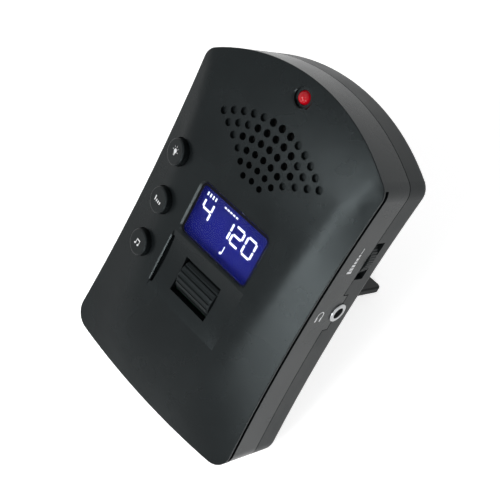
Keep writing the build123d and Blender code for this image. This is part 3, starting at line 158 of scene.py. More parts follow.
@dataclass
class Sign:
    """Flat ink shapes on one seat, drawn in millimetres and raised by the ink's thickness."""

    name: str
    thickness: float = 0.03
    sunk: float = 0.01
    corner_steps: int = 4
    dot_steps: int = 28
    arc_step: float = 9.0
    merge: float = 0.0005
    shapes: bmesh.types.BMesh = field(default_factory=bmesh.new)

    def lay(self, made: list[bmesh.types.BMVert], middle: tuple[float, float], turn: float) -> None:
        """Turns a shape about its own middle and moves it to its place.

        Args:
            made: The shape's vertices.
            middle: The place of its middle in mm.
            turn: Its turn in degrees.
        """
        bmesh.ops.rotate(self.shapes, cent=(0.0, 0.0, 0.0), verts=made,
                         matrix=Matrix.Rotation(math.radians(turn), 3, "Z"))
        bmesh.ops.translate(self.shapes, vec=(middle[0], middle[1], 0.0), verts=made)

    def bar(self, middle: tuple[float, float], size: tuple[float, float], turn: float = 0.0,
            corner: float = 0.0) -> None:
        """Adds a straight bar.

        Args:
            middle: Its middle in mm.
            size: Its width and height in mm.
            turn: Its turn in degrees.
            corner: The radius of its corners in mm.
        """
        made = bmesh.ops.create_grid(self.shapes, x_segments=1, y_segments=1, size=0.5)["verts"]
        bmesh.ops.scale(self.shapes, vec=(size[0], size[1], 1.0), verts=made)
        if corner > 0.0:
            rounded = bmesh.ops.bevel(self.shapes, geom=made, offset=corner, segments=self.corner_steps,
                                      profile=0.5, affect="VERTICES", material=-1)
            beside = {vert for face in rounded["faces"] for vert in face.verts}
            made = list(beside | set(self.linked(rounded)))
        self.lay(made, middle, turn)

    @staticmethod
    def linked(made: dict) -> list[bmesh.types.BMVert]:
        """Gives the vertices of the faces next to a bevel."""
        return [vert for start in made["verts"] for face in start.link_faces for vert in face.verts]

    def dot(self, middle: tuple[float, float], radius: float, squash: float = 1.0,
            turn: float = 0.0) -> None:
        """Adds a round or oval dot.

        Args:
            middle: Its middle in mm.
            radius: Its radius in mm.
            squash: Its height as a share of its width.
            turn: Its turn in degrees.
        """
        made = bmesh.ops.create_circle(self.shapes, cap_ends=True, segments=self.dot_steps,
                                       radius=radius)["verts"]
        bmesh.ops.scale(self.shapes, vec=(1.0, squash, 1.0), verts=made)
        self.lay(made, middle, turn)

    def arc(self, middle: tuple[float, float], radius: float, stroke: float, start: float,
            sweep: float) -> None:
        """Adds a curved stroke by spinning a short edge.

        Args:
            middle: The arc's middle in mm.
            radius: The radius of the stroke's middle line in mm.
            stroke: The width of the stroke in mm.
            start: The angle it starts at, in degrees.
            sweep: The angle it runs through, in degrees, less than a full turn.
        """
        way = Vector((math.cos(math.radians(start)), math.sin(math.radians(start)), 0.0))
        centre = Vector((middle[0], middle[1], 0.0))
        ends = [self.shapes.verts.new(centre + way * (radius + part * stroke / 2.0)) for part in (-1.0, 1.0)]
        edge = self.shapes.edges.new(ends)
        bmesh.ops.spin(self.shapes, geom=ends + [edge], cent=centre, axis=(0.0, 0.0, 1.0),
                       angle=math.radians(sweep), steps=int(sweep / self.arc_step), use_merge=False)

    def rim(self, size: tuple[float, float], corner: float, low: tuple[float, float],
            high: tuple[float, float]) -> None:
        """Makes a border with round corners by insetting a bar and opening its middle.

        Args:
            size: The width and height of the border in mm.
            corner: The radius of its outer corners in mm.
            low: The lower left corner of the opening in mm.
            high: The upper right corner of the opening in mm.
        """
        self.bar((0.0, 0.0), size, corner=corner)
        middle = self.shapes.faces[:][0]
        bmesh.ops.inset_individual(self.shapes, faces=[middle], thickness=corner / 2.0, use_even_offset=True)
        inner = middle.verts[:]
        scale = [(end - start) / (whole - corner) for start, end, whole in zip(low, high, size)]
        bmesh.ops.scale(self.shapes, vec=(*scale, 1.0), verts=inner)
        shift = [(start + end) / 2.0 for start, end in zip(low, high)]
        bmesh.ops.translate(self.shapes, vec=(*shift, 0.0), verts=inner)
        bmesh.ops.delete(self.shapes, geom=[middle], context="FACES_ONLY")

    def raise_ink(self) -> None:
        """Closes the flat shapes into thin solids that are sunk a little into their seat."""
        bmesh.ops.remove_doubles(self.shapes, verts=self.shapes.verts[:], dist=self.merge)
        bmesh.ops.recalc_face_normals(self.shapes, faces=self.shapes.faces[:])
        turned = [face for face in self.shapes.faces if face.normal.z < 0.0]
        bmesh.ops.reverse_faces(self.shapes, faces=turned)
        raised = bmesh.ops.extrude_face_region(self.shapes, geom=self.shapes.faces[:], use_keep_orig=True)
        tops = [part for part in raised["geom"] if isinstance(part, bmesh.types.BMVert)]
        bmesh.ops.translate(self.shapes, vec=(0.0, 0.0, self.thickness + self.sunk), verts=tops)
        bmesh.ops.translate(self.shapes, vec=(0.0, 0.0, -self.sunk), verts=self.shapes.verts[:])
        bmesh.ops.recalc_face_normals(self.shapes, faces=self.shapes.faces[:])

    def finish(self, seat: Matrix, body: str, slot: str, ink: Material) -> Object:
        """Raises the shapes into ink and puts them on their seat.

        Args:
            seat: The seat's matrix.
            body: The body the sign rides on.
            slot: The record's material slot that its finish belongs to; not used.
            ink: The ink's material.

        Returns:
            The finished piece.
        """
        self.raise_ink()
        bmesh.ops.transform(self.shapes, matrix=seat, verts=self.shapes.verts[:])
        mesh = bpy.data.meshes.new(self.name)
        self.shapes.to_mesh(mesh)
        self.shapes.free()
        piece = bpy.data.objects.new(self.name, mesh)
        bpy.context.scene.collection.objects.link(piece)
        mesh.materials.append(ink)
        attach(piece, body)
        log.info("%s: %d faces on %s", self.name, len(mesh.polygons), body)
        return piece


class GrainGroup:
    """The fine moulded texture and the slow mottling that the finishes share."""

    NAME = "moulded_grain"
    GRAIN_SCALE = 3000.0
    FINE_DETAIL = 3.0
    SLOW_SCALE = 70.0
    SLOW_DETAIL = 4.0

    @classmethod
    def tree(cls) -> ShaderNodeTree:
        """Builds the group once.

        Returns:
            The node group, with a height for the bump and a slow tone from 0 to 1.
        """
        found = bpy.data.node_groups.get(cls.NAME)
        if found:
            return found
        group = bpy.data.node_groups.new(cls.NAME, "ShaderNodeTree")
        group.interface.new_socket("Vector", in_out="INPUT", socket_type="NodeSocketVector")
        scale = group.interface.new_socket("Grain Scale", in_out="INPUT", socket_type="NodeSocketFloat")
        scale.default_value = cls.GRAIN_SCALE
        group.interface.new_socket("Height", in_out="OUTPUT", socket_type="NodeSocketFloat")
        group.interface.new_socket("Tone", in_out="OUTPUT", socket_type="NodeSocketFloat")
        entry = group.nodes.new("NodeGroupInput")
        leave = group.nodes.new("NodeGroupOutput")
        fine = group.nodes.new("ShaderNodeTexNoise")
        fine.inputs["Detail"].default_value = cls.FINE_DETAIL
        pits = group.nodes.new("ShaderNodeTexVoronoi")
        pits.feature = "SMOOTH_F1"
        slow = group.nodes.new("ShaderNodeTexNoise")
        slow.inputs["Scale"].default_value = cls.SLOW_SCALE
        slow.inputs["Detail"].default_value = cls.SLOW_DETAIL
        added = group.nodes.new("ShaderNodeMath")
        added.operation = "ADD"
        links = group.links
        for texture in (fine, pits, slow):
            links.new(entry.outputs["Vector"], texture.inputs["Vector"])
        links.new(entry.outputs["Grain Scale"], fine.inputs["Scale"])
        links.new(entry.outputs["Grain Scale"], pits.inputs["Scale"])
        links.new(fine.outputs["Fac"], added.inputs[0])
        links.new(pits.outputs["Distance"], added.inputs[1])
        links.new(added.outputs["Value"], leave.inputs["Height"])
        links.new(slow.outputs["Fac"], leave.inputs["Tone"])
        return group


class Finish:
    """The steps that every finish shares."""

    # The band of the slow tone that most of a surface lies in
    TONE_LOW = 0.3
    TONE_HIGH = 0.7

    @staticmethod
    def blank(name: str) -> tuple[Material, NodeTree, ShaderNode]:
        """Makes an empty material.

        Args:
            name: The material's name.

        Returns:
            The material, its nodes and its shader.
        """
        made = bpy.data.materials.new(name)
        made.use_nodes = True
        tree = made.node_tree
        return made, tree, tree.nodes["Principled BSDF"]

    @staticmethod
    def grain(tree: NodeTree, shader: ShaderNode, size: float, depth: float) -> ShaderNode:
        """Places the grain group and bends the normal by it.

        Args:
            tree: The material's nodes.
            shader: The material's shader.
            size: The size of the grain in mm.
            depth: The depth of the grain in mm.

        Returns:
            The group's node.
        """
        place = tree.nodes.new("ShaderNodeTexCoord")
        group = tree.nodes.new("ShaderNodeGroup")
        group.node_tree = GrainGroup.tree()
        group.inputs["Grain Scale"].default_value = 1.0 / (size * MM)
        tree.links.new(place.outputs["Object"], group.inputs["Vector"])
        bump = tree.nodes.new("ShaderNodeBump")
        bump.inputs["Distance"].default_value = depth * MM
        tree.links.new(group.outputs["Height"], bump.inputs["Height"])
        tree.links.new(bump.outputs["Normal"], shader.inputs["Normal"])
        return group

    @classmethod
    def ramp(cls, tree: NodeTree, group: ShaderNode, low: tuple[float, ...],
             high: tuple[float, ...]) -> ShaderNode:
        """Turns the slow tone into a run between two colours.

        Args:
            tree: The material's nodes.
            group: The grain group's node.
            low: The colour at the low end.
            high: The colour at the high end.

        Returns:
            The ramp's node.
        """
        ramp = tree.nodes.new("ShaderNodeValToRGB")
        first, last = ramp.color_ramp.elements
        first.position = cls.TONE_LOW
        last.position = cls.TONE_HIGH
        first.color = (*low, 1.0)
        last.color = (*high, 1.0)
        tree.links.new(group.outputs["Tone"], ramp.inputs["Fac"])
        return ramp

    @classmethod
    def spread(cls, tree: NodeTree, group: ShaderNode, low: float, high: float) -> ShaderNode:
        """Maps the slow tone to a range of values.

        Args:
            tree: The material's nodes.
            group: The grain group's node.
            low: The value at the low end.
            high: The value at the high end.

        Returns:
            The node with the mapped value.
        """
        mapped = tree.nodes.new("ShaderNodeMapRange")
        mapped.inputs["From Min"].default_value = cls.TONE_LOW
        mapped.inputs["From Max"].default_value = cls.TONE_HIGH
        mapped.inputs["To Min"].default_value = low
        mapped.inputs["To Max"].default_value = high
        tree.links.new(group.outputs["Tone"], mapped.inputs["Value"])
        return mapped


@dataclass(frozen=True)
class SatinPlastic(Finish):
    """Moulded plastic, rubber or paper with a fine texture and slow mottling."""

    colour: tuple[float, float, float]
    roughness: float = 0.45
    specular: float = 0.5
    cast: tuple[float, float, float] = (1.0, 1.0, 1.0)
    grain_size: float = 0.3
    grain_depth: float = 0.012
    mottle: float = 0.12
    unevenness: float = 0.04

    def material(self, name: str) -> Material:
        """Builds the material.

        Args:
            name: The material's name.

        Returns:
            The material.
        """
        made, tree, shader = self.blank(name)
        group = self.grain(tree, shader, self.grain_size, self.grain_depth)
        darker = tuple(part * (1.0 - self.mottle) for part in self.colour)
        paler = tuple(part * (1.0 + self.mottle) for part in self.colour)
        tone = self.ramp(tree, group, darker, paler)
        gloss = self.spread(tree, group, self.roughness - self.unevenness, self.roughness + self.unevenness)
        tree.links.new(tone.outputs["Color"], shader.inputs["Base Color"])
        tree.links.new(gloss.outputs["Result"], shader.inputs["Roughness"])
        shader.inputs["Specular IOR Level"].default_value = self.specular
        shader.inputs["Specular Tint"].default_value = (*self.cast, 1.0)
        return made


@dataclass(frozen=True)
class WorkedMetal(Finish):
    """Bare or plated metal with fine rubbing marks."""

    colour: tuple[float, float, float]
    roughness: float = 0.2
    unevenness: float = 0.08
    dulled: float = 0.86
    rub_size: float = 0.2
    rub_depth: float = 0.002

    def material(self, name: str) -> Material:
        """Builds the material.

        Args:
            name: The material's name.

        Returns:
            The material.
        """
        made, tree, shader = self.blank(name)
        group = self.grain(tree, shader, self.rub_size, self.rub_depth)
        duller = tuple(part * self.dulled for part in self.colour)
        tone = self.ramp(tree, group, duller, self.colour)
        gloss = self.spread(tree, group, self.roughness, self.roughness + self.unevenness)
        tree.links.new(tone.outputs["Color"], shader.inputs["Base Color"])
        tree.links.new(gloss.outputs["Result"], shader.inputs["Roughness"])
        shader.inputs["Metallic"].default_value = 1.0
        return made


@dataclass(frozen=True)
class ClearPlastic(Finish):
    """Clear cast plastic of the display lens, coated against glare, with a faint haze of wiping."""

    tint: tuple[float, float, float] = (0.93, 0.95, 1.0)
    roughness: float = 0.02
    haze: float = 0.03
    index: float = 1.12
    ripple_size: float = 2.0
    ripple_depth: float = 0.0004

    def material(self, name: str) -> Material:
        """Builds the material.

        Args:
            name: The material's name.

        Returns:
            The material.
        """
        made, tree, shader = self.blank(name)
        group = self.grain(tree, shader, self.ripple_size, self.ripple_depth)
        wiped = self.spread(tree, group, self.roughness, self.roughness + self.haze)
        tree.links.new(wiped.outputs["Result"], shader.inputs["Roughness"])
        shader.inputs["Base Color"].default_value = (*self.tint, 1.0)
        shader.inputs["Transmission Weight"].default_value = 1.0
        shader.inputs["IOR"].default_value = self.index
        return made


@dataclass(frozen=True)
class GlowingBody(Finish):
    """A coloured body that gives off some light of its own colour, a little unevenly."""

    deep: tuple[float, float, float]
    bright: tuple[float, float, float]
    glow: float
    roughness: float
    specular: float
    grain_size: float
    grain_depth: float

    def material(self, name: str) -> Material:
        """Builds the material.

        Args:
            name: The material's name.

        Returns:
            The material.
        """
        made, tree, shader = self.blank(name)
        group = self.grain(tree, shader, self.grain_size, self.grain_depth)
        tone = self.ramp(tree, group, self.deep, self.bright)
        tree.links.new(tone.outputs["Color"], shader.inputs["Base Color"])
        tree.links.new(tone.outputs["Color"], shader.inputs["Emission Color"])
        shader.inputs["Emission Strength"].default_value = self.glow
        shader.inputs["Roughness"].default_value = self.roughness
        shader.inputs["Specular IOR Level"].default_value = self.specular
        return made


@dataclass(frozen=True)
class PrintedInk(Finish):
    """Pad-printed ink or a lit segment, with slightly uneven cover."""

    colour: tuple[float, float, float]
    glow: float = 0.0
    specular: float = 0.2
    roughness: float = 0.5
    cover: float = 0.88
    grain_size: float = 0.15
    grain_depth: float = 0.002

    def material(self, name: str) -> Material:
        """Builds the material.

        Args:
            name: The material's name.

        Returns:
            The material.
        """
        made, tree, shader = self.blank(name)
        group = self.grain(tree, shader, self.grain_size, self.grain_depth)
        thin = tuple(part * self.cover for part in self.colour)
        tone = self.ramp(tree, group, thin, self.colour)
        tree.links.new(tone.outputs["Color"], shader.inputs["Base Color"])
        shader.inputs["Roughness"].default_value = self.roughness
        shader.inputs["Specular IOR Level"].default_value = self.specular
        if self.glow > 0.0:
            tree.links.new(tone.outputs["Color"], shader.inputs["Emission Color"])
            shader.inputs["Emission Strength"].default_value = self.glow
        return made


@dataclass
class CaseFinishes:
    """Every finish of the CAD nodes, by the record's material slots."""

    by_slot: dict[str, Finish] = field(default_factory=lambda: {
        "case_black": SatinPlastic((0.0036, 0.0046, 0.005), roughness=0.27, specular=0.18, cast=COOL_CAST),
        "back_black": SatinPlastic((0.007, 0.0082, 0.0087), roughness=0.4, specular=0.14, cast=COOL_CAST),
        "stand_black": SatinPlastic((0.003, 0.0036, 0.0038), roughness=0.4, specular=0.06, cast=COOL_CAST),
        "clear_lens": ClearPlastic(),
        "display_blue": GlowingBody((0.0035, 0.0055, 0.08), (0.005, 0.007, 0.11), glow=0.5, roughness=0.35,
                                    specular=0.05, grain_size=0.4, grain_depth=0.0006),
        "light_block": SatinPlastic((0.82, 0.84, 0.86), roughness=0.6, mottle=0.03),
        "strip_rubber": SatinPlastic((0.045, 0.045, 0.045), roughness=0.7, grain_size=0.2),
        "board_green": SatinPlastic((0.016, 0.12, 0.045), roughness=0.3, grain_size=0.6, mottle=0.25),
        "chip_black": SatinPlastic((0.02, 0.02, 0.02), roughness=0.5, grain_size=0.15),
        "bright_steel": WorkedMetal((0.6, 0.6, 0.6), roughness=0.22),
        "can_metal": WorkedMetal((0.62, 0.63, 0.65), roughness=0.28),
        "speaker_metal": SatinPlastic((0.03, 0.03, 0.032), roughness=0.38, grain_size=0.5),
        "speaker_paper": SatinPlastic((0.018, 0.018, 0.018), roughness=0.85, grain_size=0.4,
                                      grain_depth=0.06),
        "magnet_grey": SatinPlastic((0.09, 0.09, 0.09), roughness=0.6, grain_size=0.25),
        "lamp_red": GlowingBody((0.3, 0.001, 0.005), (0.42, 0.004, 0.012), glow=0.25, roughness=0.16,
                                specular=0.25, grain_size=0.8, grain_depth=0.0008),
        "wire_black": SatinPlastic((0.015, 0.015, 0.015), roughness=0.4, grain_size=0.5, grain_depth=0.004),
        "cell_can": SatinPlastic((0.05, 0.055, 0.065), roughness=0.3, grain_size=0.8, grain_depth=0.003),
        "button_black": SatinPlastic((0.0034, 0.0044, 0.0048), roughness=0.36, specular=0.15, cast=COOL_CAST),
        "switch_black": SatinPlastic((0.02, 0.02, 0.02), roughness=0.5, grain_size=0.3),
        "roller_black": SatinPlastic((0.0045, 0.0056, 0.006), roughness=0.42, specular=0.15, cast=COOL_CAST),
        "volume_black": SatinPlastic((0.008, 0.0093, 0.0098), roughness=0.42, specular=0.15, cast=COOL_CAST),
        "socket_black": SatinPlastic((0.012, 0.012, 0.012), roughness=0.4, grain_size=0.4),
        "bush_chrome": WorkedMetal((0.4, 0.41, 0.42), roughness=0.2),
        "contact_brass": WorkedMetal((0.62, 0.46, 0.18), roughness=0.2),
    })

    def dress(self) -> None:
        """Gives every CAD node the finish of its slot."""
        made = {slot: finish.material(slot) for slot, finish in self.by_slot.items()}
        for row in frame["record"]["subparts"]:
            piece = frame["nodes"][row["node"]]
            for place in piece.material_slots:
                place.material = made[row["material_slot"]]
            log.info("%s: %s", row["node"], row["material_slot"])


@dataclass(frozen=True)
class Inks:
    """The inks of the printed signs, the lit segments and the dark display border, part print and part
    painted shadow of the window's rim.
    """

    segments: PrintedInk = PrintedInk((0.86, 0.88, 0.95), glow=0.75)
    # Dark print of the display border; along its wider top and left edges it is painted shadow of the
    # window's rim.
    border: PrintedInk = PrintedInk((0.003, 0.003, 0.004), specular=0.05)
    signs: PrintedInk = PrintedInk((0.78, 0.79, 0.8))


@dataclass(frozen=True)
class TickRow:
    """A row of equal ticks, in mm."""

    start: tuple[float, float]
    pitch: float
    count: int
    size: tuple[float, float]

    def draw(self, sign: Sign) -> None:
        """Adds the row to a sign."""
        for index in range(self.count):
            sign.bar((self.start[0] + index * self.pitch, self.start[1]), self.size)


@dataclass
class DisplayFace:
    """What shows at the display: a border printed on the lens, wider at the top and left as painted shadow of
    the window's rim, two readings, a note and tick rows.
    """

    case: LeaningCase
    middle_height: float = 8.0
    before_glass: float = -1.0
    before_lens: float = -20.0
    segment_thickness: float = 0.015
    digit_size: tuple[float, float] = (4.1, 6.0)
    stroke: float = 0.66
    bar_gap: float = 0.5
    digit_middle: float = 8.65
    beat_at: float = -10.2
    tempo_at: tuple[float, ...] = (-1.66, 2.9, 7.85)
    note_head_at: tuple[float, float] = (0.4, 1.5)
    note_head_radius: float = 0.5
    note_stem_at: tuple[float, float] = (0.8, 2.7)
    note_stem_size: tuple[float, float] = (0.22, 2.4)
    tick_rows: tuple[TickRow, ...] = (
        TickRow((-12.2, 12.9), 1.1, 4, (0.5, 1.1)),
        TickRow((-4.9, 13.1), 1.2, 5, (0.75, 0.5)),
    )
    border_size: tuple[float, float] = (27.38, 16.78)
    border_corner: float = 1.85
    # The opening sits towards the lower right, so the border is wider at the top and left: painted shadow of
    # the window's rim there.
    opening_low: tuple[float, float] = (-12.95, -7.95)
    opening_high: tuple[float, float] = (13.3, 7.55)
    body: str = "case"
    slot: str = "display_blue"

    def digit(self, sign: Sign, sort: str, across: float) -> None:
        """Adds one digit of seven bars.

        Args:
            sign: The sign that takes the bars.
            sort: The digit.
            across: The digit's middle across the display, in mm.
        """
        half = ((self.digit_size[0] - self.stroke) / 2.0, (self.digit_size[1] - self.stroke) / 2.0)
        for bar in DIGIT_BARS[sort]:
            at_x, at_y, level = bar.value
            middle = (across + at_x * half[0], self.digit_middle + at_y * half[1])
            if level:
                size = (2.0 * half[0] - self.bar_gap, self.stroke)
            else:
                size = (self.stroke, half[1] - self.bar_gap)
            sign.bar(middle, size)

    def readings(self, ink: Material) -> None:
        """Makes the two readings, the note and the tick rows.

        Args:
            ink: The segments' material.
        """
        seat = Carrier("lcd_glass").seat(self.case, (0.0, self.before_glass, self.middle_height), Side.FRONT)
        seat = seat @ Matrix.Translation((0.0, -self.middle_height, 0.0))
        beats = Sign("beat_reading", self.segment_thickness)
        self.digit(beats, "4", self.beat_at)
        tempo = Sign("tempo_reading", self.segment_thickness)
        for sort, across in zip("120", self.tempo_at):
            self.digit(tempo, sort, across)
        note = Sign("note_reading", self.segment_thickness)
        note.dot(self.note_head_at, self.note_head_radius, NOTE_SQUASH, NOTE_TURN)
        note.bar(self.note_stem_at, self.note_stem_size)
        ticks = Sign("display_ticks", self.segment_thickness)
        for row in self.tick_rows:
            row.draw(ticks)
        for sign in (beats, tempo, note, ticks):
            sign.finish(seat, self.body, self.slot, ink)

    def border(self, ink: Material) -> None:
        """Prints the dark border on the face of the lens. Its wider top and left edges are painted shadow of
        the window's rim.

        Args:
            ink: The border's material.
        """
        seat = Carrier("lcd_lens").seat(self.case, (0.0, self.before_lens, self.middle_height), Side.FRONT)
        sign = Sign("display_border_and_rim_shadow")
        sign.rim(self.border_size, self.border_corner, self.opening_low, self.opening_high)
        sign.finish(seat, self.body, self.slot, ink)


@dataclass
class KeySigns:
    """The printed signs on the three round keys, in mm from the middle of each cap."""

    case: LeaningCase
    before: float = -20.0
    bulb_at: tuple[float, float] = (0.0, 0.3)
    bulb_radius: float = 0.68
    neck_at: tuple[float, float] = (0.0, -0.45)
    neck_size: tuple[float, float] = (0.66, 0.5)
    cap_at: tuple[float, float] = (0.0, -0.93)
    cap_size: tuple[float, float] = (0.66, 0.2)
    ray_reach: float = 1.3
    ray_size: tuple[float, float] = (0.5, 0.13)
    ray_turns: tuple[float, ...] = (0.0, 45.0, 90.0, 135.0, 180.0)
    beat_start: tuple[float, float] = (-1.35, -0.75)
    beat_pitch: float = 0.9
    beat_width: float = 0.42
    beat_heights: tuple[float, ...] = (1.5, 0.8, 0.8, 0.8)
    note_half: float = 0.75
    note_head_at: tuple[float, float] = (-0.22, -0.75)
    note_head_radius: float = 0.4
    note_stem_at: tuple[float, float] = (0.08, 0.02)
    note_stem_size: tuple[float, float] = (0.18, 1.5)
    note_beam_at: tuple[float, float] = (0.08, 0.72)
    note_beam_size: tuple[float, float] = (1.68, 0.34)
    slot: str = "button_black"

    def seat(self, key: str) -> Matrix:
        """Finds the seat in the middle of a key's cap, on the axis that the key moves along.

        Args:
            key: The key's name.

        Returns:
            The seat's matrix.
        """
        piece = frame["nodes"][f"{key}_button"]
        spots = [self.case.spot(piece.matrix_world @ vert.co) for vert in piece.data.vertices]
        across = [spot.x for spot in spots]
        upward = [spot.z for spot in spots]
        middle = ((min(across) + max(across)) / 2.0, self.before, (min(upward) + max(upward)) / 2.0)
        return Carrier(piece.name).seat(self.case, middle, Side.FRONT)

    def lamp_sign(self, ink: Material) -> None:
        """Prints a small lamp with rays on the light key.

        Args:
            ink: The sign's material.
        """
        sign = Sign("light_sign")
        sign.dot(self.bulb_at, self.bulb_radius)
        sign.bar(self.neck_at, self.neck_size)
        sign.bar(self.cap_at, self.cap_size)
        for turn in self.ray_turns:
            way = math.radians(turn)
            across = self.bulb_at[0] + self.ray_reach * math.cos(way)
            upward = self.bulb_at[1] + self.ray_reach * math.sin(way)
            sign.bar((across, upward), self.ray_size, turn)
        sign.finish(self.seat("light"), "light_key", self.slot, ink)

    def beat_sign(self, ink: Material) -> None:
        """Prints one long and three short beats on the beat key.

        Args:
            ink: The sign's material.
        """
        sign = Sign("beat_sign")
        for count, tall in enumerate(self.beat_heights):
            across = self.beat_start[0] + count * self.beat_pitch
            sign.bar((across, self.beat_start[1] + tall / 2.0), (self.beat_width, tall))
        sign.finish(self.seat("beat"), "beat_key", self.slot, ink)

    def rhythm_sign(self, ink: Material) -> None:
        """Prints two joined notes on the rhythm key.

        Args:
            ink: The sign's material.
        """
        sign = Sign("rhythm_sign")
        for middle in (-self.note_half, self.note_half):
            head = (middle + self.note_head_at[0], self.note_head_at[1])
            stem = (middle + self.note_stem_at[0], self.note_stem_at[1])
            sign.dot(head, self.note_head_radius, NOTE_SQUASH, NOTE_TURN)
            sign.bar(stem, self.note_stem_size)
        sign.bar(self.note_beam_at, self.note_beam_size)
        sign.finish(self.seat("rhythm"), "rhythm_key", self.slot, ink)


@dataclass
class SideSigns:
    """The printed signs beside the socket and the volume wheel on the right side, in mm."""

    case: LeaningCase
    before: float = 60.0
    ramp_start: float = 19.65
    ramp_pitch: float = 1.13
    ramp_depth: float = 7.1
    ramp_height: float = 0.8
    ramp_widths: tuple[float, ...] = (2.05, 1.7, 1.4, 1.15, 1.0, 0.8)
    ramp_tail: tuple[float, float] = (0.32, 1.7)
    ear_at: tuple[float, float] = (6.2, 4.5)
    band_at: tuple[float, float] = (0.0, 0.35)
    band_radius: float = 1.25
    band_stroke: float = 0.28
    band_sweep: float = 180.0
    arm_middle: float = -0.2
    arm_length: float = 1.1
    pad_at: tuple[float, float] = (1.05, -1.0)
    pad_size: tuple[float, float] = (0.62, 1.5)
    pad_corner: float = 0.2
    body: str = "case"
    slot: str = "case_black"

    def seat(self, spot: tuple[float, float]) -> Matrix:
        """Finds the seat at a depth and height of the right side."""
        return Carrier("front_shell").seat(self.case, (self.before, *spot), Side.RIGHT)

    def volume_ramp(self, ink: Material) -> None:
        """Prints the row of blocks that grows towards the loud end, and its thin tail.

        Args:
            ink: The sign's material.
        """
        for count, width in enumerate(self.ramp_widths):
            height = self.ramp_start + count * self.ramp_pitch
            sign = Sign(f"volume_block_{count + 1}")
            sign.bar((0.0, 0.0), (width, self.ramp_height))
            sign.finish(self.seat((self.ramp_depth, height)), self.body, self.slot, ink)
        top = self.ramp_start + len(self.ramp_widths) * self.ramp_pitch
        top += (self.ramp_tail[1] - self.ramp_height) / 2.0
        tail = Sign("volume_tail")
        tail.bar((0.0, 0.0), self.ramp_tail)
        tail.finish(self.seat((self.ramp_depth, top)), self.body, self.slot, ink)

    def headphones(self, ink: Material) -> None:
        """Prints a pair of headphones beside the socket.

        Args:
            ink: The sign's material.
        """
        sign = Sign("headphone_sign")
        sign.arc(self.band_at, self.band_radius, self.band_stroke, 0.0, self.band_sweep)
        for way in (-1.0, 1.0):
            sign.bar((way * self.band_radius, self.arm_middle), (self.band_stroke, self.arm_length))
            sign.bar((way * self.pad_at[0], self.pad_at[1]), self.pad_size, corner=self.pad_corner)
        sign.finish(self.seat(self.ear_at), self.body, self.slot, ink)


@dataclass(frozen=True)
class SoftBox:
    """An even rectangular lamp that is turned to the case, in metres, degrees and watts."""

    name: str
    spot: tuple[float, float, float]
    size: tuple[float, float]
    roll: float
    power: float

    def hang(self, aim: Vector) -> None:
        """Hangs the lamp.

        Args:
            aim: The place in the world that it is turned to.
        """
        light = bpy.data.lights.new(self.name, "AREA")
        light.shape = "RECTANGLE"
        light.size, light.size_y = self.size
        light.energy = self.power
        lamp = bpy.data.objects.new(self.name, light)
        lamp.location = self.spot
        turned = (aim - Vector(self.spot)).to_track_quat("-Z", "Y")
        lamp.rotation_euler = (turned @ Quaternion((0.0, 0.0, 1.0), math.radians(self.roll))).to_euler()
        bpy.context.scene.collection.objects.link(lamp)


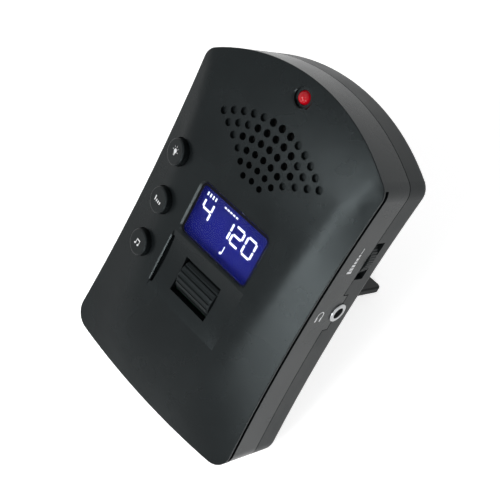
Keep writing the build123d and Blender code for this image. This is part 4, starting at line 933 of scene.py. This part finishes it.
@dataclass
class Studio:
    """Floor, soft boxes, world and camera. The camera is given in the frame of the case."""

    case: LeaningCase
    eye: tuple[float, float, float] = (139.2, -226.3, 128.9)
    forward: tuple[float, float, float] = (-0.4552, 0.7859, -0.4185)
    rightward: tuple[float, float, float] = (0.654, 0.6141, 0.4419)
    lens: float = 76.08
    sensor: float = 36.0
    near: float = 0.01
    floor_half: float = 3.0
    floor_tone: float = 0.86
    floor_roughness: float = 0.9
    floor_specular: float = 0.1
    fade: tuple[float, float] = (0.15, 1.0)
    own_white: tuple[float, float] = (0.69, 0.83)
    fill: float = 0.22
    aim: tuple[float, float, float] = (0.0, 0.0, 0.055)
    boxes: tuple[SoftBox, ...] = (
        SoftBox("strip_box", (-0.02, -0.25, 0.245), (0.27, 0.06), -35.0, 0.63),
        SoftBox("heel_box", (0.04, -0.25, 0.135), (0.09, 0.07), -35.0, 0.1),
        SoftBox("top_box", (0.1, 0.2, 1.2), (0.8, 0.8), 0.0, 0.8),
        SoftBox("low_box", (0.88, -0.69, 0.16), (0.2, 0.2), 0.0, 4.5),
        SoftBox("spark_box", (0.52, -0.2, 1.0), (0.15, 0.15), 0.0, 1.2),
    )

    def floor(self) -> None:
        """Lays a white floor that shows as white and keeps the shadow."""
        shapes = bmesh.new()
        bmesh.ops.create_grid(shapes, x_segments=1, y_segments=1, size=self.floor_half)
        mesh = bpy.data.meshes.new("floor")
        shapes.to_mesh(mesh)
        shapes.free()
        piece = bpy.data.objects.new("floor", mesh)
        bpy.context.scene.collection.objects.link(piece)
        mesh.materials.append(self.floor_white())

    @staticmethod
    def seen(tree: NodeTree) -> ShaderNode:
        """Picks out the rays that see the background.

        Args:
            tree: The nodes of the floor or the world.

        Returns:
            The node that is 1 for camera, glossy and transmission rays.
        """
        rays = tree.nodes.new("ShaderNodeLightPath")
        first = tree.nodes.new("ShaderNodeMath")
        first.operation = "MAXIMUM"
        second = tree.nodes.new("ShaderNodeMath")
        second.operation = "MAXIMUM"
        tree.links.new(rays.outputs["Is Camera Ray"], first.inputs[0])
        tree.links.new(rays.outputs["Is Glossy Ray"], first.inputs[1])
        tree.links.new(first.outputs["Value"], second.inputs[0])
        tree.links.new(rays.outputs["Is Transmission Ray"], second.inputs[1])
        return second

    def floor_white(self) -> Material:
        """Makes the floor's white, part lit and part its own, with more of its own where the lamps fade.

        Returns:
            The floor's material.
        """
        made, tree, shader = Finish.blank("floor_white")
        shader.inputs["Base Color"].default_value = (self.floor_tone, self.floor_tone, self.floor_tone, 1.0)
        shader.inputs["Roughness"].default_value = self.floor_roughness
        shader.inputs["Specular IOR Level"].default_value = self.floor_specular
        shader.inputs["Emission Color"].default_value = (1.0, 1.0, 1.0, 1.0)
        place = tree.nodes.new("ShaderNodeTexCoord")
        away = tree.nodes.new("ShaderNodeVectorMath")
        away.operation = "LENGTH"
        mapped = tree.nodes.new("ShaderNodeMapRange")
        mapped.inputs["From Min"].default_value, mapped.inputs["From Max"].default_value = self.fade
        mapped.inputs["To Min"].default_value, mapped.inputs["To Max"].default_value = self.own_white
        share = tree.nodes.new("ShaderNodeMath")
        share.operation = "MULTIPLY"
        tree.links.new(place.outputs["Object"], away.inputs[0])
        tree.links.new(away.outputs["Value"], mapped.inputs["Value"])
        tree.links.new(self.seen(tree).outputs["Value"], share.inputs[0])
        tree.links.new(mapped.outputs["Result"], share.inputs[1])
        tree.links.new(share.outputs["Value"], shader.inputs["Emission Strength"])
        return made

    def world(self) -> None:
        """Makes the world white to the eye and a soft fill to the object."""
        made = bpy.data.worlds.new("studio")
        made.use_nodes = True
        tree = made.node_tree
        back = tree.nodes["Background"]
        back.inputs["Color"].default_value = (1.0, 1.0, 1.0, 1.0)
        mapped = tree.nodes.new("ShaderNodeMapRange")
        mapped.inputs["To Min"].default_value = self.fill
        mapped.inputs["To Max"].default_value = 1.0
        tree.links.new(self.seen(tree).outputs["Value"], mapped.inputs["Value"])
        tree.links.new(mapped.outputs["Result"], back.inputs["Strength"])
        bpy.context.scene.world = made

    def lamps(self) -> None:
        """Hangs the soft boxes and turns them to the case."""
        for box in self.boxes:
            box.hang(Vector(self.aim))

    def camera(self) -> None:
        """Stands the camera where the photograph was taken from."""
        ahead = self.case.turn(self.forward).normalized()
        right = self.case.turn(self.rightward).normalized()
        up = right.cross(ahead)
        turned = Matrix((right, up, -ahead)).transposed().to_4x4()
        data = bpy.data.cameras.new("camera")
        data.lens = self.lens
        data.sensor_width = self.sensor
        data.clip_start = self.near
        piece = bpy.data.objects.new("camera", data)
        piece.matrix_world = Matrix.Translation(self.case.place(self.eye)) @ turned
        bpy.context.scene.collection.objects.link(piece)
        bpy.context.scene.camera = piece

    def build(self) -> None:
        """Builds the whole studio."""
        self.camera()
        self.floor()
        self.world()
        self.lamps()
        bpy.context.scene.view_settings.view_transform = "Standard"


def main() -> None:
    """Builds the studio, dresses the nodes and prints the signs."""
    logging.basicConfig(level=logging.INFO, format="%(name)s: %(message)s")
    case = LeaningCase.from_joints(AXLE_DEPTH, AXLE_HEIGHT)
    Studio(case).build()
    CaseFinishes().dress()
    inks = Inks()
    segment_white = inks.segments.material("segment_white")
    # The border's ink: dark print, and painted shadow of the window's rim along its top and left.
    border_and_rim_shadow_ink = inks.border.material("border_and_rim_shadow_ink")
    print_white = inks.signs.material("print_white")
    display = DisplayFace(case)
    display.readings(segment_white)
    display.border(border_and_rim_shadow_ink)
    keys = KeySigns(case)
    keys.lamp_sign(print_white)
    keys.beat_sign(print_white)
    keys.rhythm_sign(print_white)
    side = SideSigns(case)
    side.volume_ramp(print_white)
    side.headphones(print_white)


if __name__ == "__main__":
    main()
